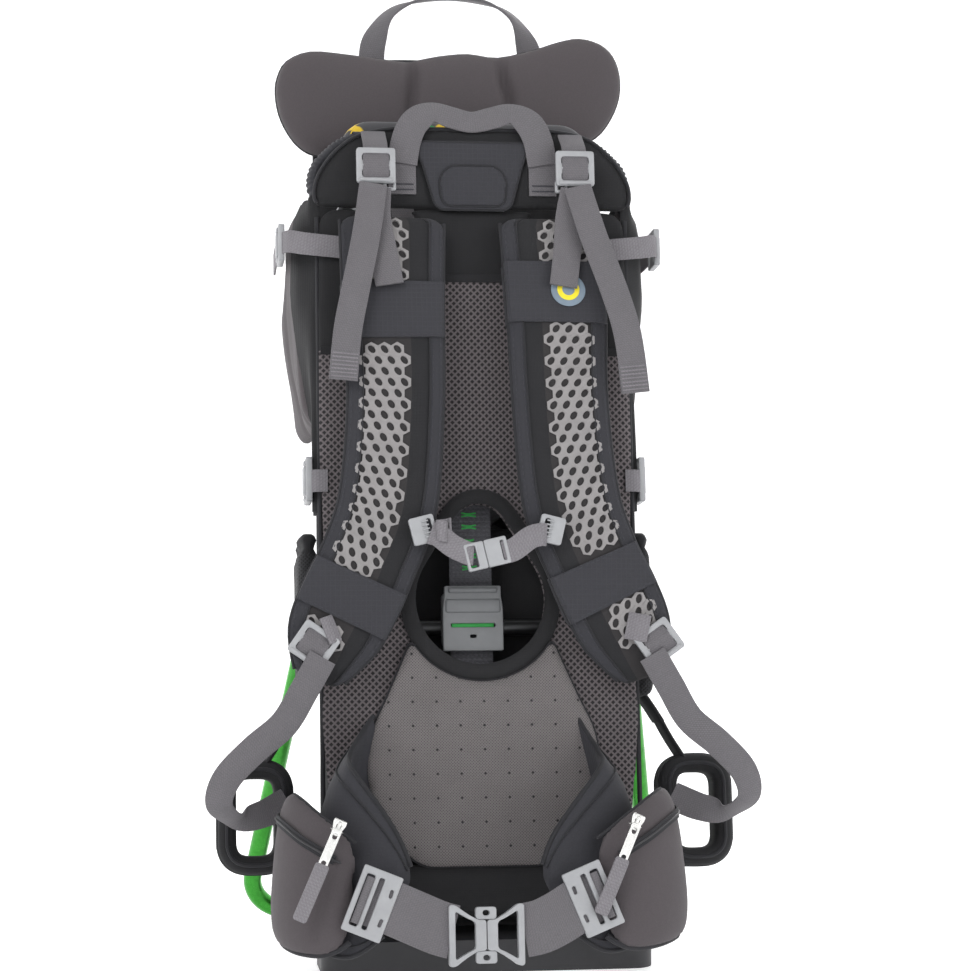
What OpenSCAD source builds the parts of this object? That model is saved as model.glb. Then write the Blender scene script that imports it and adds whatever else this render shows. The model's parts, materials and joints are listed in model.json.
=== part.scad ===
// Baby carrier backpack, standing on its kickstand with the hip belt closed.
// Sizes are in millimetres. +Z is up, +X is to the viewer's right, and the wearer's side faces -Y.
// Most pieces are drawn on an upright pack and then leaned back: x is across, y is the depth
// behind the back panel's face, and z is the height along the pack.

/* [Pack] */
// Lean of the pack on its kickstand, in degrees
lean = 8; // [7:0.5:9]
// Height of the back frame's top tube along the pack
frame_h = 700; // [690:1:705]
// Half the distance between the frame's two legs
leg_x = 125; // [122:1:126]
// Depth of the frame tubes' centre line behind the back panel's face
frame_y = 24; // [23:0.5:25]
// Radius of the frame tube
tube_r = 9; // [8:0.25:9]
// Radius of the frame's two upper bends
bend_r = 60; // [55:1:65]
// Thickness of the back panel
panel_t = 10; // [8:0.5:11]
// Thickness of the padding on the shoulder straps
strap_t = 14; // [12:0.5:14]

/* [Kickstand] */
// Depth of the kickstand's pivot in the pack
pivot_y = 90; // [88:1:92]
// Height of the kickstand's pivot along the pack
pivot_z = 300; // [295:1:305]
// Distance of the ground bar's centre behind the origin
bar_y = 260; // [255:1:265]
// Height of the ground bar's centre above the ground
bar_z = 13; // [12.5:0.5:14]
// Radius of the kickstand tube
stand_r = 8.5; // [8:0.25:8.5]
// Radius of the bend between a kickstand leg and the ground bar
stand_bend_r = 35; // [30:1:40]
// Half width of the kickstand at its pivots
stand_top_x = 148; // [148:0.5:149]
// Half width where the legs' lines would meet the ground bar
stand_foot_x = 197; // [190:1:200]

/* [Webbing] */
// Width of the harness webbing
web_w = 25; // [20:1:26]
// Thickness of the harness webbing
web_t = 2; // [1.5:0.25:2.5]
// Width of the hip belt webbing
hip_web_w = 40; // [38:1:42]
// Distance of the hip buckle from the middle of the pack
belt_skew = 22; // [18:1:24]

/* [Hidden] */
$fn = 48;
soft_fn = 24;
pivot_r = 4;
bore_gap = 0.15;
bracket_x = leg_x + tube_r + 0.2;
bracket_t = 4;
rivet_r = 2.5;
rivet_low = 288;
rivet_high = 322;
boot_h = 28;
socket_z = 14;
cross_z = [120, 300];
cross_y = [frame_y, 41];
cross_r = 7;
hoop_r = 6;
hoop_z = 635;
hoop_back_y = 170;
hoop_bend_r = 45;
hole_low = [0, 321, 58];
hole_high = [0, 382, 25];
rim_w = 14;
ladder_x = -5;
across = [1, 0, 0];
up = [0, 0, 1];
front = [0, -1, 0];
black = "#232326";
brown_grey = "#554e52";
navy_grey = "#41414a";
webbing_grey = "#7d787d";
buckle_grey = "#bfc1c4";

// ---- general shapes ----

// Leans an upright pack back about the origin
module leaned() { rotate([-lean, 0, 0]) children(); }

// One side as drawn and the other mirrored across the pack
module both_sides() { children(); mirror([1, 0, 0]) children(); }

// A straight bar between two points
module rod(a, b, r) {
    d = b - a;
    translate(a) rotate([0, acos(d.z / norm(d)), atan2(d.y, d.x)]) cylinder(h = norm(d), r = r);
}

// A flat outline in x and z, given depth from y0 to y1
module slab(y0, y1) { translate([0, y1, 0]) rotate([90, 0, 0]) linear_extrude(y1 - y0) children(); }

module rounded_rect(w, h, r) {
    square([w - 2 * r, h], center = true);
    square([w, h - 2 * r], center = true);
    for (sx = [-1, 1], sy = [-1, 1]) translate([sx * (w / 2 - r), sy * (h / 2 - r)]) circle(r);
}

function unit(v) = v / norm(v);
function flipped(path) = [for (p = path) [-p.x, p.y, p.z]];
function along(path, i) = unit(path[min(i + 1, len(path) - 1)] - path[max(i - 1, 0)]);
function corners(c, s, n, w, t) = [c - s * w / 2 - n * t / 2, c + s * w / 2 - n * t / 2,
    c + s * w / 2 + n * t / 2, c - s * w / 2 + n * t / 2];

// A strip swept along a path; spans gives the direction across the strip at each point
module strip(path, spans, widths, thick) {
    last = len(path) - 1;
    rings = [for (i = [0:last])
        each corners(path[i], spans[i], unit(cross(spans[i], along(path, i))), widths[i], thick)];
    sides = [for (i = [0:last - 1], k = [0:3])
        let (a = 4 * i + k, b = 4 * i + (k + 1) % 4)
        each [[a, b, a + 4], [b, b + 4, a + 4]]];
    ends = [[0, 2, 1], [0, 3, 2],
        [4 * last, 4 * last + 1, 4 * last + 2], [4 * last, 4 * last + 2, 4 * last + 3]];
    polyhedron(rings, concat(sides, ends));
}

// Directions across a strip whose flat side looks towards faces
function spans_for(path, faces) = [for (i = [0:len(path) - 1]) unit(cross(along(path, i), faces[i]))];

// Harness webbing, its flat side towards the wearer unless faces says otherwise
module web(path, faces = [], w = web_w, t = web_t) {
    looks = len(faces) == 0 ? [for (p = path) front] : faces;
    strip(path, spans_for(path, looks), [for (p = path) w], t);
}

// ---- frame ----

module back_frame() color("#8d9096") leaned() {
    arch_z = frame_h - bend_r;
    difference() {
        union() {
            both_sides() {
                translate([leg_x, frame_y, socket_z + 1]) cylinder(h = arch_z - socket_z - 1, r = tube_r);
                translate([leg_x - bend_r, frame_y, arch_z]) rotate([90, 0, 0])
                    rotate_extrude(angle = 90) translate([bend_r, 0]) circle(tube_r);
            }
            rod([bend_r - leg_x, frame_y, frame_h], [leg_x - bend_r, frame_y, frame_h], tube_r);
        }
        for (z = [rivet_low, rivet_high]) rod([-200, frame_y, z], [200, frame_y, z], rivet_r + 0.1);
    }
}

module cross_tubes() color("#8d9096") leaned() {
    inner = leg_x - tube_r - 0.1;
    rod([-inner, cross_y[0], cross_z[0]], [inner, cross_y[0], cross_z[0]], cross_r);
    reach = bracket_x - 0.1;
    rod([-reach, cross_y[1], cross_z[1]], [reach, cross_y[1], cross_z[1]], cross_r);
}

// A hoop round the child's seat, its two ends butted on the frame's legs
module cockpit_hoop() color("#8d9096") leaned() {
    back_x = leg_x - hoop_bend_r;
    bend_y = hoop_back_y - hoop_bend_r;
    both_sides() {
        rod([leg_x, frame_y + tube_r + 0.1, hoop_z], [leg_x, bend_y, hoop_z], hoop_r);
        translate([back_x, bend_y, hoop_z]) rotate_extrude(angle = 90)
            translate([hoop_bend_r, 0]) circle(hoop_r);
    }
    rod([-back_x, hoop_back_y, hoop_z], [back_x, hoop_back_y, hoop_z], hoop_r);
}

module hinge_brackets() color("#2b2b2e") leaned() both_sides() difference() {
    translate([bracket_x, 0, 0]) rotate([90, 0, 90]) linear_extrude(bracket_t) union() {
        translate([pivot_y, pivot_z]) circle(14);
        polygon([[frame_y - 8, rivet_low - 9], [frame_y - 8, rivet_high + 9],
            [frame_y + 12, rivet_high + 9], [pivot_y, pivot_z + 14], [pivot_y, pivot_z - 14],
            [frame_y + 12, rivet_low - 9]]);
    }
    rod([100, pivot_y, pivot_z], [200, pivot_y, pivot_z], pivot_r + bore_gap);
    for (z = [rivet_low, rivet_high]) rod([100, frame_y, z], [200, frame_y, z], rivet_r + 0.1);
}

module frame_rivets() color("silver") leaned() both_sides() for (z = [rivet_low, rivet_high]) {
    outer = bracket_x + bracket_t;
    rod([leg_x - tube_r, frame_y, z], [outer + 0.1, frame_y, z], rivet_r);
    rod([outer + 0.1, frame_y, z], [outer + 2, frame_y, z], 4.5);
}

// A moulded foot, flat underneath, with a socket for each frame leg
module base_boot() color(black) difference() {
    union() {
        translate([0, 18, 0]) linear_extrude(boot_h) rounded_rect(290, 76, 18);
        leaned() both_sides() translate([leg_x, frame_y, 20]) cylinder(h = 30, r = tube_r + 5);
    }
    leaned() both_sides() translate([leg_x, frame_y, socket_z]) cylinder(h = 60, r = tube_r + bore_gap);
}

// ---- back panel ----

module panel_hole(extra = 0) hull() {
    translate([hole_low.x, hole_low.y]) circle(hole_low.z + extra);
    translate([hole_high.x, hole_high.y]) circle(hole_high.z + extra);
}

// The yoke's arms reach the shoulder straps through two slots
slot_x = [52, 104];
slot_z = [590, 674];

module back_panel() color("#5f585a") leaned() slab(0, panel_t) difference() {
    polygon([[-140, 676], [-140, 455], [-137, 357], [-140, 200], [-128, 96],
        [128, 96], [140, 200], [137, 357], [140, 455], [140, 676]]);
    panel_hole();
    for (s = [-1, 1]) translate([s * (slot_x[0] + slot_x[1]) / 2, (slot_z[0] + slot_z[1]) / 2])
        square([slot_x[1] - slot_x[0], slot_z[1] - slot_z[0]], center = true);
}

module panel_rim() color(black) leaned() slab(-7, -0.3) difference() {
    panel_hole(rim_w);
    panel_hole();
}

module lumbar_pad() color("#777173") leaned() slab(-14, -0.5) difference() {
    polygon([[-62, 290], [-101, 180], [-78, 108], [-52, 89], [52, 89], [78, 108], [101, 180], [62, 290]]);
    panel_hole(rim_w + 1);
}

module base_panel() color(black) leaned() slab(-8, 8) translate([0, 65]) rounded_rect(206, 46, 12);

module top_panel() color(black) leaned() slab(-3, panel_t + 1) translate([0, 713]) rounded_rect(288, 72, 30);

module cover_patch() color(navy_grey) leaned() slab(-7.5, -3.5)
    polygon([[-29, 674], [-48, 734], [48, 734], [29, 674]]);

module rim_bolster() color("#3b3b3f") leaned() slab(12, 36) difference() {
    translate([0, 700]) rounded_rect(298, 108, 50);
    translate([0, 676]) rounded_rect(276, 74, 14);
    translate([0, 640]) square([400, 100], center = true);
}

module face_pad() color("#3b3b3f") leaned() slab(38, 56) translate([0, 727]) rounded_rect(236, 74, 20);

// ---- cockpit and storage ----

module side_wall() slab(37, 176)
    polygon([[134, 690], [152, 694], [163, 670], [165, 600], [152, 500], [146, 485], [134, 485]]);
module cockpit_side_left() color(brown_grey) leaned() mirror([1, 0, 0]) side_wall();
module cockpit_side_right() color(brown_grey) leaned() side_wall();

module cockpit_rear() color(black) leaned() slab(178, 188) union() {
    translate([0, 580]) rounded_rect(256, 560, 30);
    translate([0, 800]) rounded_rect(236, 136, 50);
}

module storage_bag() color(black) leaned() translate([0, 113, 32])
    linear_extrude(363) rounded_rect(266, 118, 24);

module side_pockets() color(black) leaned() both_sides()
    translate([151, 46.5, 235]) linear_extrude(150) rounded_rect(19, 60, 8);

module head_support() color(brown_grey) leaned() slab(134, 174) union() {
    for (s = [[-1, 817], [1, 831]]) hull() {
        translate([s[0] * 124, s[1], 0]) circle(47, $fn = soft_fn);
        translate([s[0] * 50, 824, 0]) circle(36, $fn = soft_fn);
    }
    translate([0, 822]) square([100, 84], center = true);
}

module child_seat() color("#3b3b3f") leaned() union() {
    translate([0, 110, 402]) linear_extrude(30) rounded_rect(180, 96, 20);
    translate([0, 70, 431.5]) linear_extrude(60) rounded_rect(60, 22, 8);
}

// Two shoulder straps and a waist strap on the cockpit's rear wall
module child_harness() color(webbing_grey) leaned() {
    for (s = [-1, 1]) web([[s * 45, 176.5, 740], [s * 41, 176.5, 650]]);
    for (s = [-1, 1]) web([[s * 45, 163, 622], [s * 34, 161, 540], [s * 14, 150, 500]]);
    translate([0, 152, 482]) rotate([90, 0, 0]) linear_extrude(10) rounded_rect(44, 34, 8);
}

// ---- webbing and buckles on the pack ----

// Sewn roots of the two handles and of the load lifters
module webbing_anchors() color(webbing_grey) leaned() {
    for (s = [-1, 1]) {
        translate([s * 79 + handle_shift, 189.5, 818]) cube([web_w, 2, 58], center = true);
        translate([s * 64, -4.6, 706]) cube([web_w, 2, 36], center = true);
        translate([s * 90, -4.6, 734]) cube([22, 2, 20], center = true);
    }
}
handle_shift = 8;

module side_straps() color(webbing_grey) leaned() both_sides() {
    web([[172, 120, 650], [172, 46, 648]], [across, across], 20);
    web([[168, 8, 645], [156, -4, 642], [143, -6, 640]], [[1, -0.6, 0], [0.8, -1, 0], front], 20);
    web([[150, 60, 436], [150, 36, 432]], [across, across], 20);
}

module side_buckles() color(buckle_grey) leaned() both_sides() {
    translate([172, 28, 647]) rotate([90, 0, 90]) linear_extrude(9, center = true)
        rounded_rect(30, 34, 5);
    translate([150, 17, 430]) rotate([90, 0, 90]) linear_extrude(9, center = true)
        rounded_rect(32, 40, 6);
}

// A slider plate and keeper round the ladder webbing, clipped on the upper cross tube
module adjuster_slider() color("#8a8c90") leaned() difference() {
    union() {
        translate([ladder_x, 24, 307]) cube([52, 24, 48], center = true);
        translate([ladder_x, 43, 300]) cube([30, 18, 30], center = true);
    }
    translate([ladder_x, 22.5, 307]) cube([42, 5, 60], center = true);
    rod([-60, cross_y[1], cross_z[1]], [60, cross_y[1], cross_z[1]], cross_r + bore_gap);
    translate([ladder_x, 13, 295]) cube([30, 6, 5], center = true);
}

module ladder_webbing() color("#4b4b50") leaned()
    translate([ladder_x - 19, 21.5, 200]) cube([38, 2, 362]);

module yoke_plate() color("#2b2b2e") leaned() {
    difference() {
        translate([0, 15, 600]) rotate([90, 0, 0]) linear_extrude(3, center = true)
            rounded_rect(208, 76, 20);
        translate([0, 15, 600]) cube([90, 10, 40], center = true);
    }
    for (s = [-1, 1]) translate([s * 78, 3, 634]) cube([40, 21, 6], center = true);
}

// Lower harness webbing, from under the lower ladder lock round to the pack's side
lower_loop = [[177, -44, 212], [203, -42, 190], [228, -36, 164], [232, -26, 142], [216, -8, 132],
    [194, 2, 136], [172, 12, 146]];
module lower_webbing() color(webbing_grey) leaned() both_sides()
    web(lower_loop, [front, front, front, [0.4, -1, 0], [0.8, -1, -0.6], [0.2, -1, -0.4], [0.3, -1, 0]]);

// Loose tails of the load lifters, hanging over the straps
lifter_tail_left = [[-93, -37, 685], [-101, -47, 642], [-112, -56, 590], [-120, -60, 550],
    [-124, -60, 510]];
lifter_tail_right = [[90, -37, 685], [102, -47, 642], [118, -56, 590], [128, -60, 550],
    [134, -60, 500]];
module lifter_tails() color(webbing_grey) leaned() {
    web(lifter_tail_left);
    web(lifter_tail_right);
}

// ---- hip belt ----

// Plan path of a padded wing from the lumbar pad to the webbing, with its height at each point
wing_x = [108, 134, 156, 166, 155, 128, 100];
wing_y = [-8, -15, -36, -66, -94, -112, -120];
wing_z = [162, 142, 118, 96, 76, 64, 60];
wing_h = [126, 138, 140, 126, 100, 76, 54];
wing_skew = [0, 0.05, 0.2, 0.4, 0.65, 0.9, 1];
wing_t = 12;
pocket_t = 20;

function wing_path(side) = [for (i = [0:6])
    [side * wing_x[i] - (side > 0 ? belt_skew * wing_skew[i] : 0), wing_y[i], wing_z[i]]];
// Level direction out of the wing at each point of its path
function wing_out(side) = [for (i = [0:6]) unit(cross(along(wing_path(side), i), up)) * -side];
function pocket_path(side) = [for (i = [1:4])
    wing_path(side)[i] + wing_out(side)[i] * ((wing_t + pocket_t) / 2 + 0.8) - [0, 0, 4]];
module wing(side) strip(wing_path(side), [for (i = [0:6]) up], wing_h, wing_t);
module pocket(side) strip(pocket_path(side), [for (i = [1:4]) up],
    [for (i = [1:4]) wing_h[i] - 14], pocket_t);
module hip_wing_left() color(navy_grey) leaned() wing(-1);
module hip_wing_right() color(navy_grey) leaned() wing(1);
module hip_pocket_left() color(brown_grey) leaned() pocket(-1);
module hip_pocket_right() color(brown_grey) leaned() pocket(1);

// Middle of the hip buckle's mouth, and the buckle's thickness and height
buckle_c = [-18, -146, 32];
buckle_t = 12;
buckle_h = 44;
module hip_webbing() color(webbing_grey) leaned() {
    web([[-90, -137, 53], [-74, -140, 46], [buckle_c.x - 36, -145, 34]], [], hip_web_w);
    web([[50, -138, 50], [38, -141, 44], [buckle_c.x + 46, -145, 37]], [], hip_web_w);
}

module hip_triglides() color(buckle_grey) leaned() for (g = [[-112, 1], [70, -1]])
    translate([g[0], -136, 60]) rotate([0, g[1] * 22, g[1] * -6]) rotate([90, 0, 0])
        linear_extrude(5, center = true) difference() {
            rounded_rect(34, 56, 8);
            for (s = [-1, 1]) translate([s * 7.5, 0]) rounded_rect(7, 42, 3);
        }

// A side-release buckle: the socket's mouth faces -X, and size scales every measure
module release_socket(size) difference() {
    translate([15 * size, 0, 0]) cube([30 * size, buckle_t * size, buckle_h * size], center = true);
    translate([12 * size, 0, 0]) cube([27 * size, 7 * size, 37 * size], center = true);
    translate([15 * size, 0, 0]) cube([12 * size, 7 * size, 60 * size], center = true);
    translate([28.5 * size, 0, 0]) cube([1.6 * size, 20 * size, 30 * size], center = true);
}
module release_plug(size) {
    translate([-9 * size, 0, 0]) difference() {
        cube([17 * size, buckle_t * size, buckle_h * size], center = true);
        translate([-4 * size, 0, 0]) cube([3 * size, 20 * size, 32 * size], center = true);
    }
    translate([11.5 * size, 0, 0]) cube([24 * size, 5 * size, 8 * size], center = true);
}
module release_prong(size, side) translate([0, 0, side * 11.5 * size]) {
    translate([11 * size, 0, 0]) cube([22.5 * size, 5 * size, 5 * size], center = true);
    translate([15 * size, 0, side * 5 * size]) cube([9 * size, 5 * size, 5 * size], center = true);
}
module hip_buckle_socket() color(buckle_grey) leaned() translate(buckle_c) release_socket(1);
module hip_buckle_plug() color(buckle_grey) leaned() translate(buckle_c) release_plug(1);
module hip_prong_upper() color(buckle_grey) leaned() translate(buckle_c) release_prong(1, 1);
module hip_prong_lower() color(buckle_grey) leaned() translate(buckle_c) release_prong(1, -1);

// Where the pocket zips' sliders sit, and the tilt of their pulls
zip_left = [-140, -141, 122];
zip_right = [108, -141, 122];
pull_tilt = 24;
module zip_slider_at(p) translate(p) cube([9, 7, 12], center = true);
module zip_pull_at(p) translate(p) rotate([0, pull_tilt, 0]) {
    translate([0, -5.5, -18]) cube([7, 1.6, 34], center = true);
    translate([0, -5.5, -58]) cube([12, 2.4, 45], center = true);
}
module zip_sliders() color("silver") leaned() {
    zip_slider_at(zip_left);
    zip_slider_at(zip_right);
}
module zip_pull_left() color(webbing_grey) leaned() zip_pull_at(zip_left);
module zip_pull_right() color(webbing_grey) leaned() zip_pull_at(zip_right);

// ---- shoulder harness ----

// Middle line of the right shoulder strap from the top edge down, with its width at each point
strap_path = [[76, -15.5, 662], [74, -34, 583], [75, -43, 492], [83, -43, 404], [101, -41, 352],
    [117, -38, 318], [133, -34, 284], [142, -32, 250]];
strap_w = [94, 88, 83, 86, 84, 88, 80, 48];
module shoulder_strap(path) strip(path, spans_for(path, [for (p = path) front]), strap_w, strap_t);
module shoulder_strap_left() color(black) leaned() shoulder_strap(flipped(strap_path));
module shoulder_strap_right() color(black) leaned() shoulder_strap(strap_path);

module lifter_webbing() color(webbing_grey) leaned() both_sides()
    web([[84, -46, 592], [86, -38, 626], [88, -29, 664]]);

module sternum_slides() color(buckle_grey) leaned() for (p = [[-56, 1], [56, -1]])
    translate([p[0], -56, 377]) rotate([0, p[1] * 12, 0]) cube([22, 8, 24], center = true);
module sternum_webbing() color(webbing_grey) leaned() {
    web([[-44.5, -62, 372], [-30, -64, 361], [-17, -65, 355]], [], 20);
    web([[18, -65, 357], [32, -64, 364], [44.5, -62, 372]], [], 20);
}
module sternum_buckle() color(buckle_grey) leaned() translate([-2, -65, 355]) {
    release_socket(0.46);
    release_plug(0.46);
}

// A ladder lock hanging from its upper bar
lock_w = 35;
lock_h = 32;
module ladder_lock() translate([0, 0, -lock_h / 2]) rotate([90, 0, 0]) linear_extrude(6, center = true)
    difference() {
        rounded_rect(lock_w, lock_h, 5);
        for (z = [-7, 7]) translate([0, z]) square([26, 6], center = true);
    }
upper_lock = [90, -28, 724];
lower_lock = [142, -46, 292];
lower_turn = 35;
module upper_lock_at(side) translate([side * upper_lock.x, upper_lock.y, upper_lock.z]) ladder_lock();
module lower_lock_at(side) translate([side * lower_lock.x, lower_lock.y, lower_lock.z])
    rotate([0, side * -lower_turn, 0]) ladder_lock();
module lock_upper_left() color(buckle_grey) leaned() upper_lock_at(-1);
module lock_upper_right() color(buckle_grey) leaned() upper_lock_at(1);
module lock_lower_left() color(buckle_grey) leaned() lower_lock_at(-1);
module lock_lower_right() color(buckle_grey) leaned() lower_lock_at(1);

// ---- parts that swing ----

// A padded foot loop on its webbing
stirrup_top = [168, 48, 214];
stirrup_c = [198, 48, 134];
module stirrup() {
    translate([stirrup_c.x, stirrup_c.y - 18, stirrup_c.z]) rotate([-90, 0, 0]) linear_extrude(36)
        difference() {
            rounded_rect(58, 92, 24);
            rounded_rect(42, 76, 17);
        }
    web([stirrup_top, [184, 48, 184]], [[1, 0, 1], [1, 0, 1]]);
}
module stirrup_left() color(black) leaned() mirror([1, 0, 0]) stirrup();
module stirrup_right() color(black) leaned() stirrup();

// Middle line of the rear carry handle, with the direction its flat side faces at each point
carry_path = [[-79, 192.5, 850], [-78, 192.5, 890], [-66, 190, 920], [-40, 184, 932], [0, 182, 936],
    [40, 184, 932], [66, 190, 920], [78, 192.5, 890], [79, 192.5, 850]];
carry_faces = [front, front, [-1, -1, 1], [-0.3, 0, 1], up, [0.3, 0, 1], [1, -1, 1], front, front];
module carry_handle() color(webbing_grey) leaned() translate([handle_shift, 0, 0])
    web(carry_path, carry_faces);

// Middle line of the front grab handle
grab_path = [[-64, -9, 727], [-56, -8, 752], [-38, -6, 764], [-18, -5, 760], [0, -5, 756],
    [18, -5, 760], [38, -6, 764], [56, -8, 752], [64, -9, 727]];
module grab_handle() color(webbing_grey) leaned() web(grab_path, [], 22);

// ---- kickstand ----

// The kickstand's own plane: origin on the pivot axis, its legs running down -Z to the ground bar
pivot = [0, pivot_y * cos(lean) + pivot_z * sin(lean), -pivot_y * sin(lean) + pivot_z * cos(lean)];
bar = [0, bar_y, bar_z];
stand_len = norm(bar - pivot);
stand_swing = atan2(bar.y - pivot.y, pivot.z - bar.z);
splay = atan2(stand_foot_x - stand_top_x, stand_len);
stand_turn = 90 + splay;
bend_reach = stand_bend_r * tan(stand_turn / 2);
bar_half = stand_foot_x - bend_reach;
eye_half = 9;
pin_gap = 3;
module stand_plane() translate(pivot) rotate([stand_swing, 0, 0]) children();

module kickstand_tube() color("#5fd25a") stand_plane() difference() {
    union() {
        both_sides() {
            leg_end = [stand_foot_x - bend_reach * sin(splay), 0, -stand_len + bend_reach * cos(splay)];
            rod([stand_top_x, 0, 0], leg_end, stand_r);
            translate([bar_half, 0, stand_bend_r - stand_len]) rotate([90, 0, 0])
                rotate([0, 0, -90]) rotate_extrude(angle = stand_turn)
                    translate([stand_bend_r, 0]) circle(stand_r);
            rod([stand_top_x - eye_half, 0, 0], [stand_top_x + eye_half, 0, 0], 12);
        }
        rod([-bar_half, 0, -stand_len], [bar_half, 0, -stand_len], stand_r);
    }
    rod([-200, 0, 0], [200, 0, 0], pivot_r + bore_gap);
}

module kickstand_pins() color("silver") leaned() both_sides() {
    rod([bracket_x - 0.2, pivot_y, pivot_z], [stand_top_x + eye_half + pin_gap, pivot_y, pivot_z], pivot_r);
    rod([stand_top_x + eye_half + pin_gap, pivot_y, pivot_z],
        [stand_top_x + eye_half + pin_gap + 2, pivot_y, pivot_z], 7);
}

module kickstand_feet() color(black) both_sides() difference() {
    translate([75, bar.y, bar.z]) rotate([0, 90, 0]) cylinder(h = 50, r = bar_z);
    rod([60, bar.y, bar.z], [140, bar.y, bar.z], stand_r + 0.05);
}

back_frame();
cross_tubes();
cockpit_hoop();
hinge_brackets();
frame_rivets();
base_boot();
back_panel();
panel_rim();
lumbar_pad();
base_panel();
top_panel();
cover_patch();
rim_bolster();
face_pad();
cockpit_side_left();
cockpit_side_right();
cockpit_rear();
storage_bag();
side_pockets();
head_support();
child_seat();
child_harness();
webbing_anchors();
side_straps();
side_buckles();
adjuster_slider();
lower_webbing();
lifter_tails();
hip_wing_left();
hip_wing_right();
hip_pocket_left();
hip_pocket_right();
hip_webbing();
hip_triglides();
hip_buckle_socket();
hip_buckle_plug();
hip_prong_upper();
hip_prong_lower();
zip_sliders();
zip_pull_left();
zip_pull_right();
yoke_plate();
ladder_webbing();
shoulder_strap_left();
shoulder_strap_right();
lifter_webbing();
sternum_slides();
sternum_webbing();
sternum_buckle();
lock_upper_left();
lock_upper_right();
lock_lower_left();
lock_lower_right();
stirrup_left();
stirrup_right();
carry_handle();
grab_handle();
kickstand_tube();
kickstand_pins();
kickstand_feet();
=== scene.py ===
"""Baby carrier backpack: its fabric, foam, webbing and buckles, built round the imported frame."""
import json
import math

import bmesh
import bpy
import numpy as np
from bpy.props import FloatProperty, FloatVectorProperty, IntProperty, PointerProperty
from mathutils import Matrix, Vector


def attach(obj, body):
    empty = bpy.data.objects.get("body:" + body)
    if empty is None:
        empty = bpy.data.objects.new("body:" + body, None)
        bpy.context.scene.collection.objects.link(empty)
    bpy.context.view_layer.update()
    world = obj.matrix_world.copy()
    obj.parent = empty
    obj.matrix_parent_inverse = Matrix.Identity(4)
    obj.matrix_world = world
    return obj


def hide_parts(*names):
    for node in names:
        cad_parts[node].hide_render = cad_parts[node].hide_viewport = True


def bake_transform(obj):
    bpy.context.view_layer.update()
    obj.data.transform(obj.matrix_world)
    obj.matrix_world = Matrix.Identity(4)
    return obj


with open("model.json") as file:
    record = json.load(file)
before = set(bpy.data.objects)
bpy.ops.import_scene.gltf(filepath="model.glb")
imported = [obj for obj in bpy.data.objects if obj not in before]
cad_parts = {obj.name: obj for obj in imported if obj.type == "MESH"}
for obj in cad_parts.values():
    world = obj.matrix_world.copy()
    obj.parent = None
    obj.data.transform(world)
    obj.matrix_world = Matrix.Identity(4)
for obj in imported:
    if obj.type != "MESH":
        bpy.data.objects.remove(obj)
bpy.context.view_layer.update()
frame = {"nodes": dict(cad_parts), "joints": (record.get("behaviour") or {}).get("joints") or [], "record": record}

bl_info = {
    "name": "Baby carrier backpack",
    "version": (1, 0, 0),
    "blender": (4, 5, 0),
    "location": "3D View > Sidebar > Carrier",
    "description": "Fabric, foam, webbing and buckles of a framed baby carrier, built round its packed frame",
    "category": "Object",
}

MM = 0.001
IMAGE_SIZE = 970.0
JOINTS = {joint["name"]: joint for joint in frame["joints"]}
PAINT = {m["slot"]: m["base_color"] for m in frame["record"]["materials"]}
# The pack leans back on its kickstand, so its own height axis is the back length joint's
LEAN_AXIS = JOINTS["back_length"]["axis"]
LEAN = math.atan2(LEAN_AXIS[1], LEAN_AXIS[2])
TILT = np.array(Matrix.Rotation(-LEAN, 3, "X"))
FRONT = (0, -1, 0)
UP = (0, 0, 1)
ACROSS = (1, 0, 0)


# ---- places and meshes ----
# Shapes are drawn in millimetres on the upright pack: x across, y behind the back panel's face,
# z along the pack's height.

def at(points):
    """Upright pack millimetres as metres in the frame."""
    return (np.asarray(points, float) * MM) @ TILT.T


def box_of(node):
    """A node's lowest and highest corners at rest, in upright pack millimetres."""
    points = np.array([v.co for v in frame["nodes"][node].data.vertices], float) @ TILT / MM
    return points.min(0), points.max(0)


def clear_selection():
    bpy.ops.object.select_all(action="DESELECT")


def make_active(piece):
    clear_selection()
    piece.select_set(True)
    bpy.context.view_layer.objects.active = piece


def apply_modifiers(piece):
    make_active(piece)
    for modifier in list(piece.modifiers):
        bpy.ops.object.modifier_apply(modifier=modifier.name)


def smooth_by_angle(piece, degrees=40):
    make_active(piece)
    bpy.ops.object.shade_smooth_by_angle(angle=math.radians(degrees))


def coordinates(piece):
    points = np.zeros(len(piece.data.vertices) * 3)
    piece.data.vertices.foreach_get("co", points)
    return points.reshape(-1, 3)


def set_coordinates(piece, points):
    piece.data.vertices.foreach_set("co", np.asarray(points, float).ravel())
    piece.data.update()


def face_out(mesh):
    shell = bmesh.new()
    shell.from_mesh(mesh)
    bmesh.ops.recalc_face_normals(shell, faces=shell.faces)
    shell.to_mesh(mesh)
    shell.free()


def unit(rows):
    rows = np.asarray(rows, float)
    return rows / np.maximum(np.linalg.norm(rows, axis=-1, keepdims=True), 1e-9)


def smooth_rows(rows, per, closed=False):
    """A smooth curve through rows of numbers, with per steps between two rows."""
    rows = np.asarray(rows, float)
    count = len(rows)
    steps = np.arange(count if closed else count - 1)
    made = []
    for i in steps:
        pick = [(i + k) % count if closed else min(max(i + k, 0), count - 1) for k in (-1, 0, 1, 2)]
        a, b, c, d = (rows[k] for k in pick)
        for t in np.arange(per) / per:
            made.append(0.5 * (2 * b + (c - a) * t + (2 * a - 5 * b + 4 * c - d) * t ** 2
                               + (3 * b - a - 3 * c + d) * t ** 3))
    if not closed:
        made.append(rows[-1])
    return np.array(made)


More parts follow.
